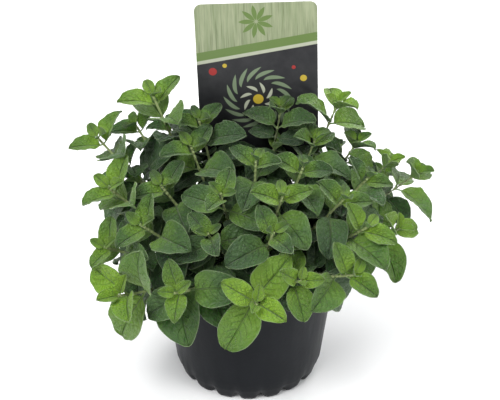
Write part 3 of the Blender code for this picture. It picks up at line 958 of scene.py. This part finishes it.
def make_peat(looks):
    """The peat: a turned body that fills the pot, with a rough top and loose crumbs on it."""
    shape = bmesh.new()
    marks = shape.verts.layers.float.new("tone")
    flat_share = math.cos(math.pi / (LOBES * 3))
    brim = (outer_radius(SOIL_LEVEL) - WALL, SOIL_LEVEL - 0.001)
    side = [
        (radius * flat_share - GAP * 1.4, height + GAP)
        for radius, height in (FLOOR_EDGE, FLOOR_BEND, brim)
    ]
    edge = side[-1][0]
    top = [(edge * (1 - step / looks.top_steps), SOIL_LEVEL) for step in range(1, looks.top_steps)]
    turned(shape, [(0.0, side[0][1]), *side, *top, (0.0, SOIL_LEVEL)], looks.steps)
    for vert in shape.verts:
        if vert.co.z > SOIL_LEVEL - 0.0005:
            vert.co.z = soil_height(vert.co.x, vert.co.y, looks)
        vert[marks] = 0.5
    chances = random.Random(11)
    for _ in range(looks.crumbs):
        radius = edge * 0.96 * math.sqrt(chances.random())
        angle = chances.uniform(0, 2 * math.pi)
        x = radius * math.cos(angle)
        y = radius * math.sin(angle)
        size = looks.crumb_size * chances.uniform(0.35, 1.0)
        crumb = bmesh.ops.create_icosphere(shape, subdivisions=1, radius=size)["verts"]
        stretch = Matrix.Diagonal((chances.uniform(0.7, 2.4), 1.0, chances.uniform(0.4, 0.9), 1.0))
        turn = Matrix.Rotation(chances.uniform(0, math.pi), 4, "Z")
        place = Matrix.Translation((x, y, soil_height(x, y, looks) + size * 0.2))
        bmesh.ops.transform(shape, matrix=place @ turn @ stretch, verts=crumb)
        tone = chances.random()
        for vert in crumb:
            vert.co += Vector([chances.uniform(-0.18, 0.18) * size for _ in range(3)])
            vert[marks] = tone
    new_piece("peat", shape, [peat_material(looks)], "peat", "soil")


def make_label(looks):
    """The label: its outline drawn out to its thickness, with rounded edges and a printed front."""
    shape = bmesh.new()
    prints = shape.loops.layers.uv.new("print")
    half = CARD_THICKNESS / 2
    outline = [shape.verts.new((x, -half, z)) for x, z in label_outline(0.0, 8)]
    made = bmesh.ops.extrude_face_region(shape, geom=[shape.faces.new(outline)])
    moved = [item for item in made["geom"] if isinstance(item, bmesh.types.BMVert)]
    bmesh.ops.translate(shape, verts=moved, vec=(0, CARD_THICKNESS, 0))
    bmesh.ops.recalc_face_normals(shape, faces=shape.faces)
    rims = [edge for edge in shape.edges if len({round(vert.co.y, 6) for vert in edge.verts}) == 1]
    rounding = {"affect": "EDGES", "segments": 2, "profile": 0.5, "material": -1}
    bmesh.ops.bevel(shape, geom=rims, offset=looks.edge_round, **rounding)
    level = CARD_BOTTOM - SOIL_LEVEL
    for face in shape.faces:
        face.normal_update()
        face.material_index = 0 if face.normal.y < -0.9 else 1
        for loop in face.loops:
            loop[prints].uv = (loop.vert.co.x / CARD_WIDTH, (loop.vert.co.z - level) / CARD_WIDTH)
    bmesh.ops.transform(shape, matrix=label_place(), verts=shape.verts)
    materials = [print_material(looks), card_back_material(looks)]
    label = new_piece("plant_label", shape, materials, "label_card", "label")
    check_place(label, "label", 0.001)


# Materials


class Value:
    """A number, colour or place in a node tree, so that a sum of nodes reads as a plain sum."""

    def __init__(self, socket):
        self.socket = socket

    def made(self, kind, output, inputs, **settings):
        """An output of a new node in this value's tree."""
        return Value(new_node(self.socket.id_data, kind, inputs, **settings).outputs[output])

    def math(self, operation, *others):
        """The result of a Math node that starts with this value."""
        values = dict(enumerate((self, *others)))
        return self.made("ShaderNodeMath", 0, values, operation=operation)

    def __add__(self, other):
        return self.math("ADD", other)

    def __sub__(self, other):
        return self.math("SUBTRACT", other)

    def __rsub__(self, other):
        return self * -1.0 + other

    def __mul__(self, other):
        return self.math("MULTIPLY", other)

    def __truediv__(self, other):
        return self.math("DIVIDE", other)

    def __abs__(self):
        return self.math("ABSOLUTE")

    def or_higher(self, other):
        return self.math("MAXIMUM", other)

    def between(self, low, high, start=0.0, end=1.0):
        """Maps low to start and high to end, and holds them beyond."""
        names = ("Value", "From Min", "From Max", "To Min", "To Max")
        inputs = dict(zip(names, (self, low, high, start, end)))
        return self.made("ShaderNodeMapRange", "Result", inputs)

    def part(self, axis):
        return self.made("ShaderNodeSeparateXYZ", axis, {"Vector": self})

    def stretched(self, *scale):
        return self.made("ShaderNodeMapping", 0, {"Vector": self, "Scale": scale})

    def noise(self, scale, detail=2.0, roughness=0.5):
        """Noise at this place."""
        inputs = {"Scale": scale, "Detail": detail, "Roughness": roughness, "Vector": self}
        return self.made("ShaderNodeTexNoise", "Fac", inputs)


def fill(node, inputs):
    """Links a node's inputs to values, or sets them."""
    for key, value in inputs.items():
        socket = node.inputs[key]
        if isinstance(value, Value):
            socket.id_data.links.new(value.socket, socket)
        else:
            socket.default_value = value


def new_node(tree, kind, inputs, **settings):
    node = tree.nodes.new(kind)
    for name, value in settings.items():
        setattr(node, name, value)
    fill(node, inputs)
    return node


def mixed(share, first, second, blend="MIX"):
    """A mix of two colours, at least one of which, or their share, is in a tree."""
    known = share if isinstance(share, Value) else first
    inputs = {0: share}
    for key, item in ((6, first), (7, second)):
        inputs[key] = item if isinstance(item, Value) else (*item, 1.0)
    return known.made("ShaderNodeMix", 2, inputs, data_type="RGBA", blend_type=blend)


def marked(tree, name):
    """A layer of the piece's own mesh."""
    return Value(new_node(tree, "ShaderNodeAttribute", {}, attribute_name=name).outputs["Fac"])


def object_place(tree):
    return Value(new_node(tree, "ShaderNodeTexCoord", {}).outputs["Object"])


def print_place(tree):
    """The place on the label's card, in card widths."""
    return Value(new_node(tree, "ShaderNodeUVMap", {}, uv_map="print").outputs["UV"])


def new_material(name):
    """A material with its node tree and its shader."""
    made = bpy.data.materials.new(name)
    made.use_nodes = True
    return made, made.node_tree, made.node_tree.nodes["Principled BSDF"]


def bump(height, distance, strength=1.0):
    inputs = {"Height": height, "Distance": distance, "Strength": strength}
    return height.made("ShaderNodeBump", 0, inputs)


def new_group(name, inputs, outputs):
    """A new group's inputs as values, and its output node. An input of None is a vector."""
    tree = bpy.data.node_groups.new(name, "ShaderNodeTree")
    for socket, value in inputs.items():
        kind = "NodeSocketVector" if value is None else "NodeSocketFloat"
        made = tree.interface.new_socket(socket, in_out="INPUT", socket_type=kind)
        if value is not None:
            made.default_value = value
    for socket in outputs:
        tree.interface.new_socket(socket, in_out="OUTPUT", socket_type="NodeSocketFloat")
    given = tree.nodes.new("NodeGroupInput")
    values = {socket: Value(given.outputs[socket]) for socket in inputs}
    return values, tree.nodes.new("NodeGroupOutput")


def use_group(tree, name, inputs):
    """The outputs of a group, which is made at its first use."""
    group = bpy.data.node_groups.get(name)
    if group is None:
        GROUPS[name](name)
        group = bpy.data.node_groups[name]
    node = new_node(tree, "ShaderNodeGroup", inputs, node_tree=group)
    return {socket.name: Value(socket) for socket in node.outputs}


def mottle_group(name):
    """Soft uneven tone in two sizes, for every natural or moulded surface here."""
    given, out = new_group(name, {"Scale": 60.0}, ["Broad", "Fine"])
    place = object_place(out.id_data)
    broad = place.noise(given["Scale"]).between(0.3, 0.7)
    fine = place.noise(given["Scale"] * 9.0, 3.0).between(0.3, 0.7)
    fill(out, {"Broad": broad, "Fine": fine})


def vein_group(name):
    """The veins of a leaf: its midrib, its curved side veins and the fine net between them."""
    sockets = {"Share": 0.0, "Side": 0.0, "Tone": 0.0, "Side Veins": 5.0}
    given, out = new_group(name, sockets, ["Midrib", "Veins", "Net", "Domes"])
    share, side = given["Share"], given["Side"]
    away = abs(side)
    midrib = away.between(0.0, 0.075, 1.0, 0.0)
    run = share - away.math("POWER", VEIN_CURVE) * VEIN_SLANT
    turns = run * (given["Side Veins"] * math.pi)
    ribs = abs(turns.math("SINE"))
    side_vein = ribs.between(0.0, 0.24, 1.0, 0.0) * away.between(0.10, 0.95, 0.80, 0.0)
    sides = {0: share * 11.0, 1: side * 4.5, 2: given["Tone"] * 20.0}
    inputs = {"Vector": share.made("ShaderNodeCombineXYZ", 0, sides), "Scale": 1.0}
    wall = share.made("ShaderNodeTexVoronoi", "Distance", inputs, feature="DISTANCE_TO_EDGE")
    domes = wall.between(0.0, 0.45) * away.between(0.0, 0.2)
    veins = midrib.or_higher(side_vein)
    net = wall.between(0.0, 0.16, 1.0, 0.0)
    fill(out, {"Midrib": midrib, "Veins": veins, "Net": net, "Domes": domes})


def leaf_material(looks, under):
    """The soft, finely hairy skin of the leaves, above or beneath; on the upper side, painted shade
    darkens the sunken veins and the fine net between them.
    """
    made, tree, shader = new_material("leaf_underside" if under else "leaf_upper_side")
    share, side, youth, fresh, tone = (marked(tree, name) for name in MARKS)
    inputs = {"Share": share, "Side": side, "Tone": tone, "Side Veins": float(looks.side_veins)}
    veins = use_group(tree, "leaf_veins", inputs)
    spots = use_group(tree, "mottle", {"Scale": 130.0})
    age = (youth + 0.30) * (fresh + 0.12)
    age += share.between(0.0, 0.60, 0.72, 0.0) * (youth + 0.1)
    age += tone * 0.26 - 0.10
    age += spots["Broad"] * 0.12
    green = mixed(age.between(0.02, 0.62), looks.old_colour, looks.grown_colour)
    green = mixed(age.between(0.45, 1.30), green, looks.young_colour)
    if under:
        pale = mixed(0.5, green, looks.underside_colour)
        green = mixed(veins["Veins"] * 0.7, pale, looks.vein_colour)
    else:
        # Painted shade: the sunken veins and fine net of the upper side are multiplied darker, as
        # shade in their furrows, its strength varied by the mottle.
        drawn = veins["Veins"] + veins["Net"] * 0.22
        drawn *= spots["Broad"].between(0.0, 1.0, 0.30, 0.75)
        green = mixed(drawn, green, looks.furrow_shade_colour, "MULTIPLY")
        pale_foot = share.between(0.05, 0.60, 0.75, 0.0) * veins["Midrib"]
        green = mixed(pale_foot, green, looks.vein_colour)
    green = mixed(abs(side).between(0.95, 1.0, 0.0, 0.60), green, looks.edge_colour)
    rough = looks.leaf_roughness
    height = veins["Veins"] * (0.6 if under else -1.0)
    height += veins["Domes"] * youth.between(0.0, 1.0, 0.6, 1.1) * (-0.5 if under else 1.0)
    height += object_place(tree).noise(2600.0, 2.0, 0.6) * 0.22
    skin = {
        "Base Color": green,
        "Roughness": spots["Fine"].between(0.0, 1.0, rough - 0.06, rough + 0.08),
        "Specular IOR Level": 0.35,
        "Sheen Weight": looks.hairiness,
        "Sheen Roughness": 0.45,
        "Sheen Tint": (0.85, 1.0, 0.75, 1.0),
        "Subsurface Weight": looks.glow,
        "Subsurface Radius": (0.5, 1.0, 0.12),
        "Subsurface Scale": 0.0018,
        "Normal": bump(height, 0.0008),
    }
    fill(shader, skin)
    return made


def stem_material(looks):
    """A stem's skin, green above and brown at its foot."""
    made, tree, shader = new_material("stem_skin")
    spots = use_group(tree, "mottle", {"Scale": 200.0})
    browned = marked(tree, "share").between(0.10, 0.70, 0.80, 0.0) + spots["Broad"] * 0.3
    skin = mixed(browned, looks.stem_colour, looks.old_stem_colour)
    corners = marked(tree, "side").between(-1.0, 0.2, 0.35, 0.0)
    inputs = {
        "Base Color": mixed(corners, skin, looks.edge_colour),
        "Roughness": spots["Fine"].between(0.0, 1.0, 0.5, 0.68),
        "Sheen Weight": looks.hairiness,
        "Sheen Tint": (0.9, 0.95, 0.8, 1.0),
        "Normal": bump(object_place(tree).noise(1500.0), 0.0002, 0.8),
    }
    fill(shader, inputs)
    return made


def pot_material(looks):
    """Black moulded plastic: satin, with faint flow marks, scuffs and a little dried soil."""
    made, tree, shader = new_material("black_moulded_plastic")
    spots = use_group(tree, "mottle", {"Scale": 45.0})
    place = object_place(tree)
    height = place.part("Z")
    flow = place.stretched(1.0, 1.0, 0.12).noise(160.0, 3.0, 0.6)
    low = height.between(0.0, 0.022, 1.0, 0.0)
    high = height.between(POT_HEIGHT - 0.010, POT_HEIGHT)
    crumbs = place.noise(520.0, 4.0, 0.65).between(0.56, 0.72)
    dusty = low.or_higher(high) * crumbs * 0.28
    scratches = place.stretched(1.0, 1.0, 6.0).noise(90.0, 5.0, 0.7)
    base = mixed(spots["Broad"] * 0.35, looks.plastic_colour, looks.faded_colour)
    base = mixed(scratches.between(0.66, 0.74, 0.0, 0.16), base, looks.scuff_colour)
    rough = looks.roughness
    inputs = {
        "Base Color": mixed(dusty, base, looks.dust_colour),
        "Roughness": flow.between(0.3, 0.7, rough - 0.05, rough + 0.07) + dusty,
        "Specular IOR Level": 0.13,
        "Normal": bump(flow * 0.6 + spots["Fine"] * 0.4, 0.00012, 0.6),
    }
    fill(shader, inputs)
    return made


def peat_material(looks):
    """Dark, moist peat with paler fibres and crumbs."""
    made, tree, shader = new_material("moist_peat")
    spots = use_group(tree, "mottle", {"Scale": 260.0})
    fibres = object_place(tree).noise(900.0, 5.0, 0.7).between(0.52, 0.70)
    dark = mixed(spots["Broad"], looks.dark_colour, looks.peat_colour)
    light = marked(tree, "tone").between(0.55, 1.0, 0.0, 0.7).or_higher(fibres * 0.4)
    inputs = {
        "Base Color": mixed(light, dark, looks.fibre_colour),
        "Roughness": spots["Fine"].between(0.0, 1.0, 0.8, 1.0),
        "Normal": bump(spots["Fine"] + fibres * 0.7, 0.0006),
    }
    fill(shader, inputs)
    return made


def ring_of_leaves_group(name):
    """A printed ring of small leaves round a middle, as a mask."""
    sockets = {
        "Place": None,
        "Middle": None,
        "Radius": 0.2,
        "Length": 0.05,
        "Width": 0.03,
        "Count": 12.0,
        "Swirl": 0.03,
    }
    given, out = new_group(name, sockets, ["Mask"])
    place, count = given["Place"], given["Count"]
    ends = {0: place, 1: given["Middle"]}
    offset = place.made("ShaderNodeVectorMath", 0, ends, operation="SUBTRACT")
    reach = offset.made("ShaderNodeVectorMath", "Value", {0: offset}, operation="LENGTH")
    along = (reach - given["Radius"]) / given["Length"]
    turn = offset.part("Y").math("ARCTAN2", offset.part("X")) / (2 * math.pi)
    turn += along * given["Swirl"]
    spacing = reach * (2 * math.pi) / count
    sideways = abs(((turn * count).math("FRACT") - 0.5) * spacing)
    left = (1.0 - along * along) * given["Width"]
    fill(out, {"Mask": (left - sideways).between(0.0, 0.004)})


GROUPS = {"mottle": mottle_group, "leaf_veins": vein_group, "ring_of_leaves": ring_of_leaves_group}


def disc(place, middle, radius):
    """A printed disc, as a mask."""
    ends = {0: place, 1: middle}
    reach = place.made("ShaderNodeVectorMath", "Value", ends, operation="DISTANCE")
    return reach.between(radius - DISC_RIM, radius, 1.0, 0.0)


def wood_print(place, looks):
    """Pale planks with a printed grain, which the whole card has behind its motifs."""
    grain = place.stretched(26.0, 1.6, 1.0).noise(1.0, 4.0, 0.6).between(0.35, 0.65)
    streaks = place.stretched(90.0, 3.0, 1.0).noise(1.0, 3.0, 0.6).between(0.5, 0.7, 0.0, 0.45)
    wood = mixed(grain, looks.card_colour, looks.grain_colour)
    return mixed(streaks, wood, looks.grain_colour, "MULTIPLY")


def print_material(looks):
    """The label's printed front: planks, a sloping band, a dark panel and plain leaf motifs."""
    made, tree, shader = new_material("printed_label_front")
    place = print_place(tree)
    height = place.part("Y") - place.part("X") * looks.slope
    panel_grain = place.noise(7.0, 4.0, 0.6).between(0.35, 0.7, 0.0, 0.6)
    panel = mixed(panel_grain, looks.panel_colour, looks.panel_light_colour)
    face = wood_print(place, looks)
    for above, tint in ((0.105, looks.band_colour), (0.030, looks.border_colour), (0.0, panel)):
        edge = looks.panel_top + above
        face = mixed(height.between(edge, edge + BAND_RIM, 1.0, 0.0), face, tint)
    names = ("Middle", "Radius", "Length", "Width", "Count", "Swirl")
    rings = [
        (CARD_TOP_MOTIF, 0.078, 0.070, 0.022, 9.0, 0.0, looks.band_colour),
        (PANEL_MOTIF, 0.235, 0.060, 0.030, 16.0, 0.05, looks.motif_colour),
        (PANEL_MOTIF, 0.110, 0.045, 0.020, 8.0, -0.05, looks.border_colour),
    ]
    for *form, tint in rings:
        inputs = {"Place": place, **dict(zip(names, form))}
        face = mixed(use_group(tree, "ring_of_leaves", inputs)["Mask"], face, tint)
    discs = [
        ((-0.37, 0.88, 0.0), 0.035, looks.red_colour),
        ((-0.27, 0.93, 0.0), 0.020, looks.yellow_colour),
        ((0.38, 0.80, 0.0), 0.030, looks.yellow_colour),
        ((0.30, 0.90, 0.0), 0.018, looks.red_colour),
        (PANEL_MOTIF, 0.045, looks.yellow_colour),
    ]
    for middle, radius, tint in discs:
        face = mixed(disc(place, middle, radius), face, tint)
    surface = object_place(tree)
    inputs = {
        "Base Color": face,
        "Roughness": surface.noise(300.0, 3.0).between(0.3, 0.7, 0.30, 0.42),
        "Specular IOR Level": 0.3,
        "Coat Weight": 0.08,
        "Coat Roughness": 0.2,
        "Normal": bump(surface.noise(700.0), 0.00004, 0.4),
    }
    fill(shader, inputs)
    return made


def card_back_material(looks):
    """The label's back and edges, paler than its front."""
    made, tree, shader = new_material("label_back_and_edges")
    spots = use_group(tree, "mottle", {"Scale": 90.0})
    inputs = {
        "Base Color": mixed(0.55, wood_print(print_place(tree), looks), looks.back_colour),
        "Roughness": spots["Fine"].between(0.0, 1.0, 0.35, 0.5),
        "Normal": bump(spots["Fine"], 0.00005, 0.5),
    }
    fill(shader, inputs)
    return made


def floor_material(looks):
    """A pale, nearly even floor."""
    made, tree, shader = new_material("pale_floor")
    base = mixed(object_place(tree).noise(3.0), looks.floor_colour, (0.93, 0.93, 0.93))
    fill(shader, {"Base Color": base, "Roughness": 0.9, "Specular IOR Level": 0.1})
    return made


# The stage


def turned_to(place, target):
    return (target - place).to_track_quat("-Z", "Y").to_euler()


def make_stage(looks):
    """The floor, the lamps, the sky and the camera."""
    scene = bpy.context.scene
    shape = bmesh.new()
    bmesh.ops.create_grid(shape, x_segments=4, y_segments=4, size=3.0)
    mesh = new_mesh("floor", shape)
    mesh.materials.append(floor_material(looks))
    floor = new_object("floor", mesh)
    floor.location.z = -STAGE_DROP
    for name, place, size, energy in (
        ("key_lamp", (-0.9, -1.2, 1.9), 1.3, looks.key_energy),
        ("fill_lamp", (1.4, -0.9, 1.1), 1.2, looks.fill_energy),
        ("top_lamp", (0.2, 0.8, 1.9), 1.2, looks.top_energy),
        ("back_lamp", (0.9, 1.5, 0.9), 1.2, looks.back_energy),
    ):
        lamp = bpy.data.lights.new(name, "AREA")
        lamp.shape = "DISK"
        lamp.size = size
        lamp.energy = energy
        made = new_object(name, lamp)
        made.location = place
        made.rotation_euler = turned_to(Vector(place), STAGE_TARGET)
    scene.world = bpy.data.worlds.new("studio")
    scene.world.use_nodes = True
    sky = {"Color": (0.95, 0.97, 1.0, 1.0), "Strength": looks.sky}
    fill(scene.world.node_tree.nodes["Background"], sky)
    scene.view_settings.view_transform = "Standard"
    camera = bpy.data.cameras.new("camera")
    camera.sensor_width = 36.0
    camera.lens = looks.lens
    scene.camera = new_object("camera", camera)
    elevation = math.radians(looks.elevation)
    back = Vector((0, -math.cos(elevation), math.sin(elevation)))
    scene.camera.location = STAGE_TARGET + back * looks.distance
    scene.camera.rotation_euler = turned_to(scene.camera.location, STAGE_TARGET)


# Settings


def ink(name, description, default):
    return FloatVectorProperty(
        name=name, description=description, default=default, subtype="COLOR", min=0, max=1
    )


def length(name, description, default):
    return FloatProperty(
        name=name, description=description, default=default, unit="LENGTH", min=0, precision=5
    )


def share_of(name, description, default):
    return FloatProperty(
        name=name, description=description, default=default, subtype="FACTOR", min=0, max=1
    )


def power(name, description, default):
    return FloatProperty(name=name, description=description, default=default, unit="POWER")


def count(name, description, default, least):
    return IntProperty(name=name, description=description, default=default, min=least)


class PotSettings(PropertyGroup):
    plastic_colour: ink("Plastic", "Colour of the pot", (0.004, 0.005, 0.007))
    faded_colour: ink("Faded Plastic", "Colour where the pot is paler", (0.009, 0.011, 0.014))
    scuff_colour: ink("Scuffs", "Colour of scuffed plastic", (0.045, 0.050, 0.055))
    dust_colour: ink("Dust", "Colour of dried soil on the pot", (0.085, 0.070, 0.055))
    roughness: share_of("Roughness", "Roughness of the plastic", 0.42)
    steps: count("Steps", "Faces round the pot", 180, 36)


class PeatSettings(PropertyGroup):
    peat_colour: ink("Peat", "Colour of moist peat", (0.040, 0.026, 0.018))
    dark_colour: ink("Dark Peat", "Colour in the hollows of the peat", (0.010, 0.007, 0.005))
    fibre_colour: ink("Fibres", "Colour of the fibres in the peat", (0.11, 0.070, 0.040))
    lumps: length("Lumps", "Height of the lumps on the peat", 0.0011)
    crumbs: count("Crumbs", "Number of loose crumbs", 650, 0)
    crumb_size: length("Crumb Size", "Radius of the largest crumbs", 0.0013)
    steps: count("Steps", "Faces round the peat", 110, 24)
    top_steps: count("Top Steps", "Rings on top", 46, 8)


class LeafSettings(PropertyGroup):
    old_colour: ink("Old Leaves", "Colour of the oldest leaves", (0.014, 0.036, 0.015))
    grown_colour: ink("Grown Leaves", "Colour of full-grown leaves", (0.048, 0.108, 0.020))
    young_colour: ink("Young Leaves", "Colour of the youngest leaves", (0.165, 0.290, 0.018))
    vein_colour: ink("Veins", "Colour of the veins", (0.16, 0.21, 0.09))
    furrow_shade_colour: ink("Furrows", "Tint of the sunken veins", (0.42, 0.50, 0.42))
    # Painted shade: the tint multiplied into the sunken veins and fine net of the upper side, where
    # shade falls in the furrows.
    edge_colour: ink("Hairy Edge", "Colour of the downy leaf edge", (0.17, 0.22, 0.12))
    underside_colour: ink("Underside", "Colour of the undersides", (0.085, 0.125, 0.065))
    stem_colour: ink("Stem", "Colour of young stems", (0.23, 0.30, 0.10))
    old_stem_colour: ink("Old Stem", "Colour of old stems", (0.11, 0.085, 0.05))
    leaf_roughness: share_of("Roughness", "Roughness of the leaves", 0.52)
    hairiness: share_of("Hairiness", "How downy the leaves look", 0.13)
    glow: share_of("Glow", "How much light goes through the leaves", 0.15)
    blade_thickness: length("Blade Thickness", "Thickness of a leaf", 0.0004)
    petiole_width: length("Leaf Stalk Width", "Width of a leaf's stalk", 0.0012)
    quilting: length("Quilting", "Height of the leaf between its veins", 0.0008)
    wrinkling: length("Wrinkling", "Height of a leaf's uneven wrinkles", 0.0015)
    edge_wave: length("Edge Wave", "Height of the waves of a leaf's edge", 0.00030)
    sway: length("Sway", "How far a leaf's tip bends sideways", 0.0015)
    unevenness: share_of("Unevenness", "How uneven a leaf's outline is", 0.06)
    twist: FloatProperty(
        name="Twist", description="How far a leaf's tip turns", default=0.30, subtype="ANGLE"
    )
    side_veins: count("Side Veins", "Side veins each side", 6, 2)
    leaf_steps: count("Leaf Steps", "Faces along a leaf", 24, 8)
    stem_steps: count("Stem Steps", "Rings between bends", 8, 2)
    knot_swelling: share_of("Knots", "How much a stem swells where leaves stand", 0.18)


class LabelSettings(PropertyGroup):
    card_colour: ink("Card", "Ground colour of the label", (0.29, 0.32, 0.20))
    grain_colour: ink("Grain", "Colour of the printed grain", (0.19, 0.23, 0.125))
    band_colour: ink("Band", "Colour of the green band", (0.105, 0.165, 0.045))
    border_colour: ink("Border", "Colour of the pale border", (0.36, 0.38, 0.29))
    panel_colour: ink("Panel", "Colour of the dark panel", (0.012, 0.012, 0.014))
    panel_light_colour: ink("Panel Light", "Lighter colour in the panel", (0.030, 0.030, 0.032))
    motif_colour: ink("Motif", "Colour of the printed leaves", (0.15, 0.20, 0.12))
    red_colour: ink("Red", "Red of the printed dots", (0.28, 0.020, 0.018))
    yellow_colour: ink("Yellow", "Yellow of the printed dots", (0.42, 0.31, 0.03))
    back_colour: ink("Back", "Colour of the plain back", (0.34, 0.34, 0.31))
    panel_top: FloatProperty(
        name="Panel Top", description="Height of the panel in card widths", default=1.02
    )
    slope: FloatProperty(name="Slope", description="Slope of the band", default=0.16)
    edge_round: length("Edge Rounding", "Rounding of the card's edges", 0.00012)


class StageSettings(PropertyGroup):
    floor_colour: ink("Floor", "Colour of the floor", (0.86, 0.86, 0.86))
    key_energy: power("Key", "Power of the main lamp", 51)
    fill_energy: power("Fill", "Power of the side lamp", 16)
    top_energy: power("Top", "Power of the upper lamp", 18)
    back_energy: power("Back", "Power of the rear lamp", 18)
    sky: FloatProperty(name="Sky", description="Strength of the even light", default=0.49, min=0)
    lens: FloatProperty(name="Lens", description="Focal length in mm", default=95.76, unit="CAMERA")
    distance: length("Distance", "Distance from the plant to the camera", 0.90)
    elevation: FloatProperty(name="Elevation", description="Camera angle in degrees", default=32.0)


# Operators, one for each piece or group of like pieces


class OREGANO_OT_pot(Operator):
    """Adds the pot"""

    bl_idname = "oregano.pot"
    bl_label = "Add Pot"

    def execute(self, context):
        make_pot(context.scene.oregano_pot)
        return {"FINISHED"}


class OREGANO_OT_peat(Operator):
    """Adds the peat"""

    bl_idname = "oregano.peat"
    bl_label = "Add Peat"

    def execute(self, context):
        make_peat(context.scene.oregano_peat)
        return {"FINISHED"}


class OREGANO_OT_leafy_stems(Operator):
    """Adds every leafy stem"""

    bl_idname = "oregano.leafy_stems"
    bl_label = "Add Leafy Stems"

    def execute(self, context):
        make_leafy_stems(context.scene.oregano_leaves)
        return {"FINISHED"}


class OREGANO_OT_label(Operator):
    """Adds the plant label"""

    bl_idname = "oregano.label"
    bl_label = "Add Label"

    def execute(self, context):
        make_label(context.scene.oregano_label)
        return {"FINISHED"}


class OREGANO_OT_stage(Operator):
    """Adds the floor, the lamps and the camera"""

    bl_idname = "oregano.stage"
    bl_label = "Add Stage"

    def execute(self, context):
        make_stage(context.scene.oregano_stage)
        return {"FINISHED"}


class OREGANO_PT_panel(Panel):
    """The pieces of the plant, in the order in which they are made"""

    bl_label = "Potted Oregano"
    bl_idname = "OREGANO_PT_panel"
    bl_space_type = "VIEW_3D"
    bl_region_type = "UI"
    bl_category = "Oregano"

    def draw(self, context):
        for operator in OPERATORS:
            self.layout.operator(operator.bl_idname)
        for name in SETTINGS:
            box = self.layout.box()
            settings = getattr(context.scene, name)
            for key in settings.__annotations__:
                box.prop(settings, key)


OPERATORS = [
    OREGANO_OT_stage,
    OREGANO_OT_pot,
    OREGANO_OT_peat,
    OREGANO_OT_label,
    OREGANO_OT_leafy_stems,
]
SETTINGS = {
    "oregano_pot": PotSettings,
    "oregano_peat": PeatSettings,
    "oregano_leaves": LeafSettings,
    "oregano_label": LabelSettings,
    "oregano_stage": StageSettings,
}


def register():
    for name, settings in SETTINGS.items():
        bpy.utils.register_class(settings)
        setattr(bpy.types.Scene, name, PointerProperty(type=settings))
    for operator in OPERATORS:
        bpy.utils.register_class(operator)
    bpy.utils.register_class(OREGANO_PT_panel)


def unregister():
    bpy.utils.unregister_class(OREGANO_PT_panel)
    for operator in reversed(OPERATORS):
        bpy.utils.unregister_class(operator)
    for name, settings in reversed(SETTINGS.items()):
        delattr(bpy.types.Scene, name)
        bpy.utils.unregister_class(settings)


def main():
    register()
    bpy.ops.oregano.stage()
    bpy.ops.oregano.pot()
    bpy.ops.oregano.peat()
    bpy.ops.oregano.label()
    bpy.ops.oregano.leafy_stems()


if __name__ == "__main__":
    main()
